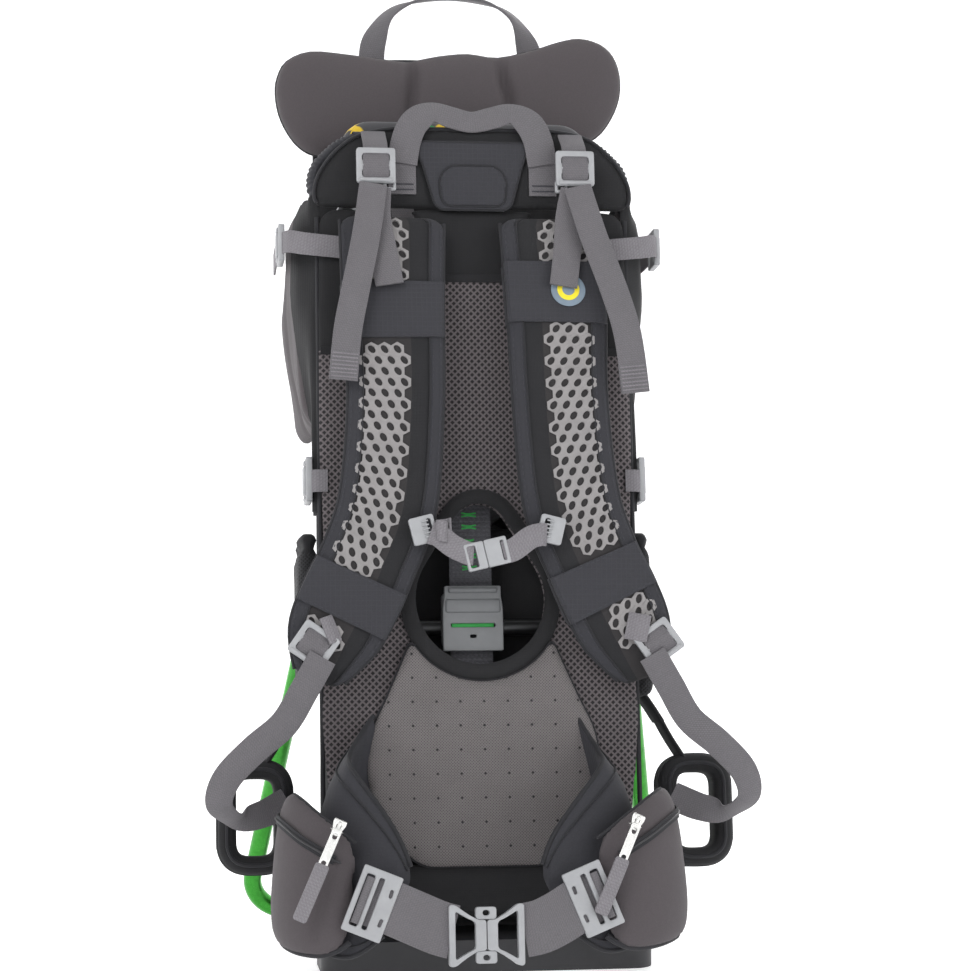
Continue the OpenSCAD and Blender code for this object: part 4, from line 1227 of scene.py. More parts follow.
def make_webbing():
    """Load lifters, side straps, the anchors, the ladder webbing and the lower harness webbing."""
    tails = Shell()
    left = Ribbon([(-93, -33.5, 690), (-101, -47, 642), (-112, -56, 590), (-120, -60, 550), (-124, -60, 508)], 25, 2.2)
    right = Ribbon([(91, -33.5, 690), (102, -47, 642), (118, -56, 590), (128, -60, 550), (134, -60, 498)], 25, 2.2)
    for tail in (left, right):
        tails.band(tail)
        end = tail.run[-1]
        tails.band(tail, start=end - 26, end=end - 0.5, lift=-2.2)
        for cross in np.arange(end - 24, end - 2, 3.4):
            tails.band(tail, [(-0.9, 0), (0, 0.5), (0.9, 0), (0, -0.5)], start=cross, end=cross + 1.2, lift=1.3, paint=1)
    placed(tails.make("lifter_tail_webbing", finish("webbing"), finish("webbing_light")), "pack", "webbing", "lifter_tails")

    for s, side in ((-1, "left"), (1, "right")):
        lifter = Shell()
        shift = -4 if side == "left" else -3
        lifter.band(Ribbon([(s * 77 + shift, -46.5, 596), (s * 82 + shift, -40, 628), (s * 86 + shift, -31, 660),
                            (s * 89, -28.5, 688)], 25, 2.2))
        piece = lifter.make(f"lifter_webbing_{side}", finish("webbing"))
        for node in (["lifter_webbing"] if side == "left" else []):
            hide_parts(node)
        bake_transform(piece)

        lower = Shell()
        lower.band(Ribbon([(s * x, y, z) for x, y, z in LOWER_LOOP],
                          25, 2.2, [(s * x, y, z) for x, y, z in LOWER_FACES], per=8))
        piece = lower.make(f"lower_webbing_{side}", finish("webbing"))
        if side == "left":
            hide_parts("lower_webbing")
        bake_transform(piece)

    anchors = Shell()
    for s in (-1, 1):
        anchors.band(Ribbon([(s * 79 + 8, 190.2, z) for z in (790, 815, 850)], 25, 2.2))
        anchors.band(Ribbon([(s * 64, -5.2, z) for z in (688, 706, 728)], 25, 2.2))
        anchors.band(Ribbon([(s * 90, -4.6, 745), (s * 90, -9, 741), (s * 90, -24, 728), (s * 90, -28, 716)], 22, 2.0))
        for z in (692, 697):
            anchors.band(Ribbon([(s * 64 - 10, -6.4, z), (s * 64, -6.6, z), (s * 64 + 10, -6.4, z)], 1.2, 0.8), paint=1)
    placed(anchors.make("webbing_roots", finish("webbing"), finish("thread")), "pack", "webbing", "webbing_anchors")

    sides = Shell()
    for s in (-1, 1):
        sides.band(Ribbon([(s * 172, 122, 650), (s * 173, 80, 649), (s * 172.5, 45, 648)], 20, 2, (s, 0, 0)))
        sides.band(Ribbon([(s * 171, 14, 646), (s * 166, 2, 645), (s * 156, -4.4, 642), (s * 141, -6.5, 640),
                           (s * 118, -6, 638)], 20, 2, [(s, -0.4, 0), (s, -0.7, 0), (s * 0.8, -1, 0), FRONT, FRONT]))
        sides.band(Ribbon([(s * 150, 62, 437), (s * 151, 48, 435), (s * 150, 35, 432)], 20, 2, (s, 0, 0)))
        sides.band(Ribbon([(s * 149, 4, 428), (s * 144, -1, 428), (s * 134, -1.6, 428)], 20, 2,
                          [(s, -0.6, 0), (s * 0.6, -1, 0), FRONT]))
    placed(sides.make("side_strap_webbing", finish("webbing_light")), "pack", "webbing", "side_straps")

    ladder = Shell()
    tape = Ribbon([(-5, 22.5, z) for z in (200, 290, 380, 470, 562)], 38, 1.9)
    ladder.band(tape)
    for z in np.arange(206, 558, 4.2):
        ladder.band(Ribbon([(-23, 21.3, z), (-5, 21.1, z), (13, 21.3, z)], 1.9, 1.0, per=2))
    for z in (352, 363, 376, 389, 400):
        wide = 13 if z != 376 else 9
        for k in (-1.6, 1.6):
            ladder.band(Ribbon([(-6 - wide / 2, 20.6, z + k), (-6, 20.5, z + k * 0.4), (-6 + wide / 2, 20.6, z + k)],
                               1.5, 0.7, per=3), paint=1)
    placed(ladder.make("ladder_webbing_tape", finish("ladder"), finish("green_print")), "harness", "ladder_webbing",
           "ladder_webbing")


def make_handles():
    """Rear carry handle and front grab handle."""
    path = [(-79, 191.2, 842), (-79, 192.5, 866), (-76, 192.5, 892), (-62, 190, 918), (-36, 186, 931), (0, 184, 935),
            (36, 186, 931), (62, 190, 918), (76, 192.5, 892), (79, 192.5, 866), (79, 191.2, 842)]
    faces = [FRONT, FRONT, (-0.3, -1, 0.2), (-1, -0.8, 1), (-0.4, -0.25, 1), (0, -0.2, 1), (0.4, -0.25, 1), (1, -0.8, 1),
             (0.3, -1, 0.2), FRONT, FRONT]
    handle = Shell()
    handle.band(Ribbon([(x + 8, y, z) for x, y, z in path], 25, 2.6, faces, per=7))
    placed(handle.make("carry_handle_webbing", finish("webbing")), "rear_handle", "webbing", "carry_handle")
    path = [(-64, -7.6, 716), (-60, -9, 738), (-52, -9, 754), (-37, -7, 764), (-19, -5, 760), (0, -4, 756), (19, -5, 760),
            (37, -7, 764), (52, -9, 754), (60, -9, 738), (64, -7.6, 716)]
    faces = [FRONT, FRONT, FRONT, (0, -1, 0.5), (0, -1, 0.15), (0, -1, 0.1), (0, -1, 0.15), (0, -1, 0.5), FRONT, FRONT, FRONT]
    widths = [27, 27, 26, 23, 21, 20, 21, 23, 26, 27, 27]
    handle = Shell()
    handle.band(Ribbon(path, widths, 2.4, faces, per=7))
    placed(handle.make("grab_handle_webbing", finish("webbing")), "front_handle", "webbing", "grab_handle")


# ---- hip belt ----

WING_TOP = [(95, -10, 222), (107, -19, 206), (120, -40, 186), (121, -70, 172), (100, -98, 138), (86, -110, 112),
            (76, -117, 84)]
WING_BOTTOM = [(100, -9, 104), (126, -16, 70), (150, -42, 46), (162, -72, 28), (150, -102, 20), (126, -117, 17),
               (96, -122, 38)]
WING_BULGE = 1.5
WING_SHIFT = [14, 20, 25, 29, 38, 44, 46]
POCKET_TOP = [(130, -24, 128), (144, -40, 142), (151, -58, 150), (150, -78, 148), (140, -98, 134), (128, -109, 118),
              (119, -113, 108)]
POCKET_BOTTOM = [(132, -20, 64), (148, -36, 44), (160, -56, 32), (163, -78, 24), (154, -98, 18), (140, -110, 18),
                 (124, -116, 30)]


def edged(tops, bottoms, thick, s, lift=0.0):
    """A ribbon between an upper and a lower edge, facing away from the wearer, s the side."""
    tops, bottoms = (np.array([(s * x - (shift if s > 0 else 0), y, z) for (x, y, z), shift in zip(edge, WING_SHIFT)], float)
                     for edge in (tops, bottoms))
    rows = smooth_rows(np.concatenate([tops, bottoms, np.array(thick, float)[:, None]], axis=1), 8)
    upper, lower, thick = rows[:, :3], rows[:, 3:6], rows[:, 6]
    ribbon = Ribbon([(0, 0, 0), (1, 0, 0)], 1, 1)
    ribbon.centre, ribbon.thick = (upper + lower) / 2, thick
    ribbon.width = np.linalg.norm(upper - lower, axis=1)
    ribbon.along = unit(np.gradient(ribbon.centre, axis=0))
    ribbon.across = unit(upper - lower) * -s
    ribbon.out = unit(np.cross(ribbon.along, ribbon.across))
    if lift:
        ribbon.centre = ribbon.centre + ribbon.out * (lift + thick / 2)[:, None]
    ribbon.run = np.concatenate([[0], np.cumsum(np.linalg.norm(np.diff(ribbon.centre, axis=0), axis=1))])
    return ribbon


def wing_ribbon(s):
    return edged(WING_TOP, WING_BOTTOM, [10, 12, 13, 13, 10, 7, 6], s)


BELT_LEFT = [(-118, -134, 66), (-98, -138, 57), (-78, -141, 48), (-60, -145, 40), (-47, -146, 36)]
BELT_RIGHT = [(74, -134, 64), (56, -138, 54), (42, -141, 46), (26, -145, 39), (11, -146, 36)]
BELT_LEFT_RETURN = [(-100, -126, 60), (-108, -131, 61), (-116, -134, 63)]
BELT_RIGHT_RETURN = [(60, -126, 58), (66, -131, 60), (72, -134, 62)]


def make_hip_belt():
    """Padded hip wings, their zipped pockets and the belt webbing."""
    for s, side in ((-1, "left"), (1, "right")):
        wing = Shell()
        ribbon = wing_ribbon(s)
        wing.band(ribbon, padded_section(
            lambda u: max(1 - abs(u) ** 6, 0) ** 0.5 * (0.86 + 0.14 * math.cos(u * 9)) + WING_BULGE * (1 - u * u),
            lambda u: max(1 - abs(u) ** 4, 0) ** 0.5 - WING_BULGE * (1 - u * u), 27), ends=12)
        piece = wing.make(f"hip_wing_{side}_pad", finish("navy_plain"), smooth=60)
        placed(piece, "pack", "navy_fabric", f"hip_wing_{side}", fill=0.6)
        trim = Shell()
        length = ribbon.run[-1]
        run = np.linspace(4, length - 4, 48)
        for u in (-0.99, 0.99):
            trim.tube(ribbon.place(run, u, 0.6), size("piping_radius"), 8)
        for u in (-0.84, 0.84):
            trim.tube(ribbon.place(run, u, ribbon.pick(ribbon.thick, run) / 2 * (0.9 + WING_BULGE * (1 - u * u))), 0.8, 6)
        placed(trim.make(f"hip_wing_{side}_trim", finish("piping")), "pack", "navy_fabric")

        bag = Shell()
        pouch = pocket_ribbon(s)
        puff = padded_section(lambda u: max(1 - abs(u) ** 3.2, 0) ** 0.5, lambda u: 0.75 * max(1 - abs(u) ** 8, 0) ** 0.5, 17)
        bag.band(pouch, puff, ends=16)
        piece = bag.make(f"hip_pocket_{side}_bag", finish("softshell"))
        mesher = piece.modifiers.new("mesher", "REMESH")
        mesher.mode, mesher.voxel_size = "VOXEL", 3.8 * MM
        apply_modifiers(piece)
        inner = pouch.centre - pouch.out * 7

        def held(p, inner=inner, pouch=pouch):
            nearest = np.argmin(((p[:, None] - pouch.centre[None]) ** 2).sum(2), axis=1)
            off = p - pouch.centre[nearest]
            lift = (off * pouch.out[nearest]).sum(1)
            u = np.abs((off * pouch.across[nearest]).sum(1)) / (pouch.width[nearest] / 2)
            return (lift < -3) | (u > 0.97)

        swell(piece, held, 4.0, 6)
        smooth_by_angle(piece, 180)
        placed(piece, "pack", "softshell", f"hip_pocket_{side}", fill=0.7)
        seam = Shell()
        run = np.linspace(2, pouch.run[-1] - 2, 40)
        seam.tube(pouch.place(run, -0.985 if s < 0 else 0.985, -1.0), 2.6, 8)
        seam.tube(pouch.place(run, 0.985 if s < 0 else -0.985, -1.0), 1.6, 8)
        placed(seam.make(f"hip_pocket_{side}_binding", finish("piping")), "pack", "navy_fabric")
        zips = Shell()
        total = pouch.run[-1]
        run = np.linspace(total * 0.18, total * 0.93, 26)
        level = np.linspace(0.70, 0.52, 26)
        rise = pouch.pick(pouch.thick, run) / 2 * np.maximum(1 - level ** 3.2, 0) ** 0.5
        track = pouch.place(run, level * zip_side(pouch), rise + 1.4)
        looks = pouch.pick(pouch.out, run)
        zips.band(Ribbon(track[::3], 8, 1.6, looks[::3], per=3))
        zips.tube(track + looks * 1.1, 1.0, 6, paint=1)
        placed(zips.make(f"hip_pocket_{side}_zip", finish("piping"), finish("black_plastic")), "pack", "navy_fabric")

    belt = Shell()
    for path, width in ((BELT_LEFT, 44), (BELT_RIGHT, 44), (BELT_LEFT_RETURN, 40), (BELT_RIGHT_RETURN, 40)):
        belt.band(Ribbon(path, width, size("webbing_thickness"), per=7))
    placed(belt.make("hip_belt_webbing", finish("webbing")), "pack", "webbing", "hip_webbing")


def pocket_ribbon(s):
    """The path of a hip pocket, bulging out of the wing's outer face."""
    return edged(POCKET_TOP, POCKET_BOTTOM, [10, 18, 23, 24, 23, 16, 6], s, lift=8.0)


def zip_side(pouch):
    """The sign of a pocket's u that is its upper edge."""
    return 1.0 if float(pouch.across[0] @ np.array(UP)) > 0 else -1.0


# ---- buckles and other mouldings ----

def ladder_lock(name, centre, right, body, node, ring_side):
    """A ladder lock: an outer frame with two slots and a middle bar."""
    columns, rows = [-17.5, -12.5, 12.5, 17.5], [-16, -11.2, -3.4, 3.2, 11, 16]
    def extra(piece):
        bars = [bar((0, z, 1.2), (25, 3.4, 4.4), 1.0) for z in (-0.2,)]
        bars += [bar((0, -13.6, 1.4), (30, 3.6, 5.0), 1.2)]
        if ring_side:
            bars.append(bar((ring_side * 12.5, -20.5, -3.0), (10, 3.0, 3.2), 0.9))
            bars += [bar((ring_side * (12.5 + k), -16.5, -3.0), (2.8, 10.5, 3.0), 0.9) for k in (-4.2, 4.2)]
        joined(piece, *bars)
    piece = plate(name, columns, rows, {(1, 1), (1, 3)}, 4.6, 2.6, 0.7, extra=extra)
    painted(stand(piece, centre, right=right), finish("plastic"))
    return placed(piece, body, "grey_plastic", node)


def web_roll(name, centre, right, width, body, drop=11):
    """The webbing that shows through a lock's slots."""
    right = unit(right)
    down = np.cross(right, FRONT)
    down = down if down[2] < 0 else -down
    centre = np.array(centre, float)
    ribbon = Ribbon([centre - down * drop, centre - down * 3 + (0, -2.4, 0), centre + down * 3 + (0, -2.4, 0),
                     centre + down * drop], width, 2.0, per=6)
    roll = Shell()
    roll.band(ribbon)
    return placed(roll.make(name, finish("webbing")), body, "webbing")


def make_locks():
    """The four ladder locks of the harness and the webbing in them."""
    tilt = math.radians(35)
    for s, side in ((-1, "left"), (1, "right")):
        short = side[0]
        ladder_lock(f"upper_lock_{side}_frame", (s * 90, -28, 708), ACROSS, f"upper_lock_{short}", f"lock_upper_{side}",
                    -s)
        web_roll(f"upper_lock_{side}_webbing", (s * 90, -28, 708), ACROSS, 23.6, f"upper_lock_{short}")
        right = (math.cos(tilt), 0, s * math.sin(tilt))
        down = np.array([s * math.sin(tilt), 0, -math.cos(tilt)])
        centre = np.array([s * 142, -46, 292]) + down * 16
        ladder_lock(f"lower_lock_{side}_frame", centre, right, f"lower_lock_{short}", f"lock_lower_{side}", 0)
        web_roll(f"lower_lock_{side}_webbing", centre, right, 23.6, f"lower_lock_{short}")


def make_belt_hardware():
    """Tri-glides and the side-release buckle of the hip belt."""
    for s, side, x in ((1, "left", -112), (-1, "right", 70)):
        wide = [-17, -12.5, -5.5, -1.5, 3, 9, 12, 17]
        tall = [-28, -22, -16, -9, 0, 9, 16, 22, 28]
        gone = {(1, k) for k in range(1, 7)} | {(3, k) for k in range(1, 7)} | {(5, 2), (5, 5)}
        def warp(a, b, s=s):
            crescent = 1.6 * math.cos(b / 28 * 1.4) if 8 < a < 13 else 0
            return s * (a + crescent - 0.6), b
        glide = plate(f"hip_triglide_{side}", wide, tall, gone, 4.6, 2.2, 0.8, warp=warp)
        face_out(glide.data)
        angle = math.radians(22) * s
        right = (math.cos(angle), 0.1 * s, -math.sin(angle))
        painted(stand(glide, (x, -138.5, 60), right=right), finish("plastic"))
        placed(glide, "pack", "grey_plastic", *(["hip_triglides"] if side == "left" else []))
        roll = Shell()
        right = unit(right)
        top = np.cross(FRONT, right)
        middle = np.array([x, -139.0, 60]) + right * (-9 * s)
        roll.tube([middle + top * k for k in np.linspace(-20, 20, 9)], 3.4, 12)
        placed(roll.make(f"hip_triglide_{side}_roll", finish("webbing")), "pack", "webbing")

    def waist(a, b):
        share = min(max((abs(a) - 6) / 20, 0), 1)
        return a, b * (0.50 + 0.50 * share ** 1.3)
    middle = -20.0
    for name, low, high, node in (("hip_buckle_plug_body", -30, -1, "hip_buckle_plug"),
                                  ("hip_buckle_socket_body", 0, 31, "hip_buckle_socket")):
        s = -1 if low < -5 else 1
        wide = sorted(s * v for v in (0.4, 6, 9, 15, 21, 26, 31))
        tall = [-25, -20, -9, 0, 9, 20, 25]
        cells = len(wide) - 1
        open_cells = {(i, k) for i in ((2, 3, 4) if s > 0 else (1, 2, 3)) for k in (1, 2, 3, 4)}
        half = plate(name, wide, tall, open_cells, 9.5, 2.4, 1.2, warp=waist)
        painted(stand(half, (middle, -146, 33)), finish("plastic"))
        placed(half, "pack", "grey_plastic", node)
    for sign, name, body, node in ((1, "hip_buckle_tab_upper", "upper_prong", "hip_prong_upper"),
                                   (-1, "hip_buckle_tab_lower", "lower_prong", "hip_prong_lower")):
        tab = plate(name, [-8.5, -6, -3, 3, 6, 8.5], [0, 3, 7.5, 10], {(2, 1)}, 7.5, 2.4, 1.0,
                    warp=lambda a, b, sign=sign: (a, sign * (b + 12.8)))
        face_out(tab.data)
        painted(stand(tab, (middle - 0.4, -146, 33)), finish("plastic"))
        placed(tab, body, "grey_plastic", node)


def make_sternum():
    """Sternum strap: rail clips, webbing with a rolled tail, and its buckle."""
    for s, side in ((-1, "left"), (1, "right")):
        angle = math.radians(-14 * s)
        right = (math.cos(angle), 0, math.sin(angle))
        def extra(piece):
            teeth = [bar((2.5 * s * -1, z, 3.2), (6, 1.4, 1.8), 0.4) for z in (-7, -3.5, 0, 3.5, 7)]
            joined(piece, *teeth)
        clip = plate(f"sternum_clip_{side}", [-11, -7, -2, 4, 8, 11], [-12, -9, 9, 12], {(3, 1)} if s < 0 else {(1, 1)}, 5.0, 2.2,
                     0.7, extra=extra)
        painted(stand(clip, (s * 56, -57, 377), right=right), finish("plastic"))
        placed(clip, "sternum_strap", "grey_plastic", *(["sternum_slides"] if side == "left" else []))
    tape = Shell()
    tape.band(Ribbon([(-50, -60.5, 374), (-43, -64, 371), (-32, -66, 362), (-20, -67, 356), (-14, -66, 355)], 20, 2.0))
    tape.band(Ribbon([(12, -66, 356), (22, -67, 359), (36, -66, 369), (46, -64, 372), (51, -60.5, 372)], 20, 2.0))
    roll = [(-40 + (7 - k * 0.55) * math.cos(k * 0.85), -63 + (6 - k * 0.5) * math.sin(k * 0.85) - 2, 378 - k * 0.6)
            for k in range(10)]
    tape.band(Ribbon(roll, 18, 1.6, [(math.cos(k * 0.85), math.sin(k * 0.85), 0) for k in range(10)], per=4))
    placed(tape.make("sternum_strap_webbing", finish("webbing_light")), "sternum_strap", "webbing", "sternum_webbing")
    right = (0.97, 0, 0.22)
    socket = plate("sternum_buckle_body", [-1, 2, 5, 13, 16, 19], [-12, -9, 9, 12], {(3, 1)}, 6.0, 1.6, 0.8)
    painted(stand(socket, (-2, -65.5, 355), right=right), finish("plastic"))
    placed(socket, "sternum_strap", "grey_plastic", "sternum_buckle")
    plug = plate("sternum_buckle_plug", [-19, -16.5, -9, -6.5, -1.4], [-12, -9.6, 9.6, 12], {(1, 1)}, 5.4, 1.6, 0.8)
    painted(stand(plug, (-2, -65.5, 355), right=right), finish("plastic"))
    placed(plug, "sternum_strap", "grey_plastic")


def make_side_hardware():
    """Side buckles, the back length slider and the pocket zip pulls."""
    for s, side in ((-1, "left"), (1, "right")):
        for name, place, size in (("upper", (172, 28, 647), (15, 17)), ("lower", (150, 17, 430), (16, 20))):
            a, b = size
            def extra(piece, a=a, b=b):
                joined(piece, bar((0, 0, 2.4), (a * 1.1, b * 1.3, 4.4), 1.4),
                       *[bar((0, sign * b * 0.80, 1.0), (a * 0.9, 3.2, 6.6), 1.1) for sign in (-1, 1)])
            buckle = plate(f"side_buckle_{name}_{side}", [-a, -a + 3.5, -a + 7.5, a - 7.5, a - 3.5, a],
                           [-b, -b + 4, b - 4, b], {(1, 1), (3, 1)}, 5.5, 2.4, 0.9, extra=extra)
            face_out(buckle.data)
            x, y, z = place
            painted(stand(buckle, (s * x, y, z), right=(0, s, 0), out=(s, 0, 0)), finish("plastic"))
            first = side == "left" and name == "upper"
            placed(buckle, "pack", "grey_plastic", *(["side_buckles"] if first else []))

    def slider_extra(piece):
        lips = [bar((0, z, 2.2), (44, 5, 5), 1.6) for z in (25,)]
        joined(piece, bar((0, 11, 1.6), (50, 13, 5), 2.2), *lips)
    columns = [-27, -23, -20, -3, 3, 20, 23, 27]
    rows = [-29, -24, -17.5, -14.5, -8, -4.5, 0, 8, 20, 29]
    gone = {(i, 4) for i in (2, 3, 4)} | {(3, 2)}
    slider = plate("length_slider_plate", columns, rows, gone, 5.0, 5.0, 1.0, extra=slider_extra,
                   warp=lambda a, b: (a * (1.0 if b < 12 else 0.94), b))
    painted(stand(slider, (-5, 11.8, 306)), finish("slider"))
    placed(slider, "pack", "slider_plastic", "adjuster_slider")
    keeper = plate("length_slider_keeper", [-26, -21, 21, 26], [-24, -18, 18, 24], {(1, 1)}, 17, 4, 1.2)
    painted(stand(keeper, (-5, 24, 306)), finish("slider"))
    placed(keeper, "pack", "slider_plastic")
    clip = plate("length_slider_clip", [-15, -10, 10, 15], [-15, -9, 9, 15], {(1, 1)}, 16, 3, 1.0)
    painted(stand(clip, (-5, 43, 300)), finish("slider"))
    placed(clip, "pack", "slider_plastic")
    slot = plate("length_slider_window", [-19, 0, 19], [-2.4, 0, 2.4], set(), 1.2, 1.0, 0.3)
    painted(stand(slot, (-5, 13.2, 300)), finish("green_print"))
    placed(slot, "pack", "slider_plastic")

    for side, x in (("left", -140), ("right", 108)):
        tilt = math.radians(24)
        right = (math.cos(tilt), 0, -math.sin(tilt))
        down = np.array([-math.sin(tilt), 0, -math.cos(tilt)])
        head = np.array([x, -141.0, 122.0])
        car = plate(f"zip_slider_{side}", [-5, -2, 2, 5], [-7, -3, 3, 7], {(1, 1)}, 6.0, 1.8, 0.8,
                    extra=lambda piece: joined(piece, bar((0, 0, 2.6), (3.2, 11, 2.6), 1.0)),
                    warp=lambda a, b: (a * (1.1 if b > 0 else 0.75), b))
        painted(stand(car, head, right=right), finish("bright"))
        placed(car, "pack", "bright_metal", *(["zip_sliders"] if side == "left" else []))
        tab = plate(f"zip_tab_{side}", [-4, -2, 2, 4], [-19, -16, -11, 8, 13, 17], {(1, 1), (1, 3)}, 1.7, 1.6, 0.4)
        painted(stand(tab, head + down * 18 + (0, -5.5, 0), right=right), finish("bright"))
        placed(tab, f"zip_pull_{side[0]}", "bright_metal", f"zip_pull_{side}")
        grip = Shell()
        top = head + down * 32 + np.array([0, -5.5, 0])
        grip.band(Ribbon([top + down * k + np.array([0, w, 0]) for k, w in ((0, 0), (4, -0.8), (24, -1.0), (46, -0.6), (49, 0))],
                         12, 3.2, per=6), ends=3)
        placed(grip.make(f"zip_grip_{side}", finish("webbing_light")), f"zip_pull_{side[0]}", "webbing")


def make_foot_loops():
    """Padded foot loops on their webbing."""
    for s, side in ((-1, "left"), (1, "right")):
        loop = rounded([(173, 92), (173, 176), (223, 176), (223, 92)], 21, 9)
        path = [(s * x, 48, z) for x, z in loop]
        middle = np.array([s * 198, 48, 134.0])
        faces = unit(np.array(path) - middle)
        ribbon = Ribbon(path, 36, size("loop_padding"), faces, per=2, closed=True)
        ring = Shell()
        ring.loop_band(ribbon, padded_section(lambda u: max(1 - abs(u) ** 5, 0) ** 0.5, None, 13))
        placed(ring.make(f"foot_loop_{side}_pad", finish("black"), smooth=60), f"foot_loop_{side[0]}", "black_fabric",
               f"stirrup_{side}", fill=0.5)
        edge = Shell()
        for u in (-0.98, 0.98):
            line = ribbon.centre + ribbon.across * (u * 18)
            edge.tube(line, 1.9, 7, closed=True)
        for u in (-0.55, 0.55):
            line = ribbon.centre + ribbon.across * (u * 18) + ribbon.out * (size("loop_padding") / 2 - 0.2)
            edge.tube(line, 0.7, 6, closed=True)
        placed(edge.make(f"foot_loop_{side}_piping", finish("piping")), f"foot_loop_{side[0]}", "black_fabric")
        strap = Shell()
        strap.band(Ribbon([(s * 168, 48, 215), (s * 176, 48, 200), (s * 186, 48, 184), (s * 190, 48, 178)], 32, 5,
                          (s * 1, 0, 1)), padded_section(lambda u: max(1 - abs(u) ** 5, 0) ** 0.5))
        placed(strap.make(f"foot_loop_{side}_hanger", finish("black")), f"foot_loop_{side[0]}", "black_fabric")
        stay = Shell()
        stay.band(Ribbon([(s * 137, 46, 262), (s * 148, 46, 244), (s * 159, 47, 228), (s * 168, 48, 214)], 34, 4,
                         (s * 1, 0, 1)))
        placed(stay.make(f"foot_loop_{side}_stay", finish("black")), "pack", "black_fabric")


# ---- stage ----

def make_stage():
    """Pale curved floor, soft lights and the camera."""
    clear_selection()
    bpy.ops.mesh.primitive_circle_add(vertices=96, radius=5.5, fill_type="NGON")
    floor = bpy.context.object
    floor.name = floor.data.name = "floor"
    bpy.ops.object.mode_set(mode="EDIT")
    bpy.ops.mesh.select_mode(type="EDGE")
    bpy.ops.mesh.select_all(action="DESELECT")
    mesh = bmesh.from_edit_mesh(floor.data)
    for line in mesh.edges:
        line.select_set(len(line.link_faces) == 1)
    bmesh.update_edit_mesh(floor.data)
    for step in range(1, 9):
        bpy.ops.mesh.extrude_region_move(TRANSFORM_OT_translate={"value": (0, 0, 0.045 * step)})
        bpy.ops.transform.resize(value=(1.035, 1.035, 1.0))
    bpy.ops.mesh.extrude_region_move(TRANSFORM_OT_translate={"value": (0, 0, 2.6)})
    bpy.ops.object.mode_set(mode="OBJECT")
    bpy.ops.object.shade_smooth()
    ground = Finish("pale_floor", (0.86, 0.86, 0.87), 0.75)
    ground.raised(ground.noise(ground.on_object(), 900, 2, 0.5), 0.02, 1.0)
    ground.shader.inputs["Emission Color"].default_value = (1, 1, 1, 1)
    ground.shader.inputs["Emission Strength"].default_value = 0.55
    painted(floor, ground.material)

    world = bpy.context.scene.world or bpy.data.worlds.new("studio")
    bpy.context.scene.world = world
    world.use_nodes = True
    backdrop = world.node_tree.nodes.get("Background") or world.node_tree.nodes.new("ShaderNodeBackground")
    backdrop.inputs["Color"].default_value = (1, 1, 1, 1)
    backdrop.inputs["Strength"].default_value = 0.40
    if not world.node_tree.nodes.get("World Output"):
        output = world.node_tree.nodes.new("ShaderNodeOutputWorld")
        world.node_tree.links.new(backdrop.outputs[0], output.inputs[0])

    lights = (("key", (-1.5, -2.4, 2.3), 1.3, 36), ("fill", (1.9, -2.0, 1.2), 1.6, 13),
              ("top", (0.2, 0.3, 2.6), 1.6, 16), ("back", (1.3, 2.4, 1.9), 1.4, 26),
              ("back_low", (-1.8, 1.9, 1.2), 1.4, 16))
    for name, place, size, power in lights:
        clear_selection()
        bpy.ops.object.light_add(type="AREA", location=place)
        lamp = bpy.context.object
        lamp.name = lamp.data.name = name + "_light"
        lamp.data.size, lamp.data.energy = size, power
        lamp.rotation_euler = (Vector((0, 0.1, 0.45)) - Vector(place)).to_track_quat("-Z", "Y").to_euler()

    bpy.context.scene.view_settings.view_transform = "Standard"
    lens = bpy.data.cameras.new("camera")
    lens.lens, lens.sensor_width = 98.02, 36
    lens.shift_x, lens.shift_y = -2 / IMAGE_SIZE, -6 / IMAGE_SIZE
    camera = bpy.data.objects.new("camera", lens)
    camera.location = (-0.320, -2.278, 0.425)
    camera.rotation_euler = (math.radians(90), 0, math.radians(-8))
    bpy.context.scene.collection.objects.link(camera)
    bpy.context.scene.camera = camera


# ---- add-on ----

def shade(slot, part):
    """A CAD material's colour, darkened to the cloth's own."""
    return tuple(c * part for c in PAINT[slot])


class CarrierSizes(bpy.types.PropertyGroup):
    """Sizes that a user would change."""
    piping_radius: FloatProperty(name="Piping radius", description="Radius of the bound edges of the straps and wings",
                                 subtype="DISTANCE", unit="LENGTH", default=0.0022, min=0.001, max=0.004)
    lattice_pitch: FloatProperty(name="Lattice pitch", description="Distance between the cells of the strap lattice",
                                 subtype="DISTANCE", unit="LENGTH", default=0.0114, min=0.008, max=0.02)
    lattice_row: FloatProperty(name="Lattice row", description="Distance between the lattice's rows",
                               subtype="DISTANCE", unit="LENGTH", default=0.0099, min=0.007, max=0.02)
    webbing_thickness: FloatProperty(name="Webbing thickness", description="Thickness of the hip belt webbing",
                                     subtype="DISTANCE", unit="LENGTH", default=0.0024, min=0.001, max=0.004)
    loop_padding: FloatProperty(name="Loop padding", description="Thickness of the foot loops' padding",
                                subtype="DISTANCE", unit="LENGTH", default=0.017, min=0.006, max=0.022)


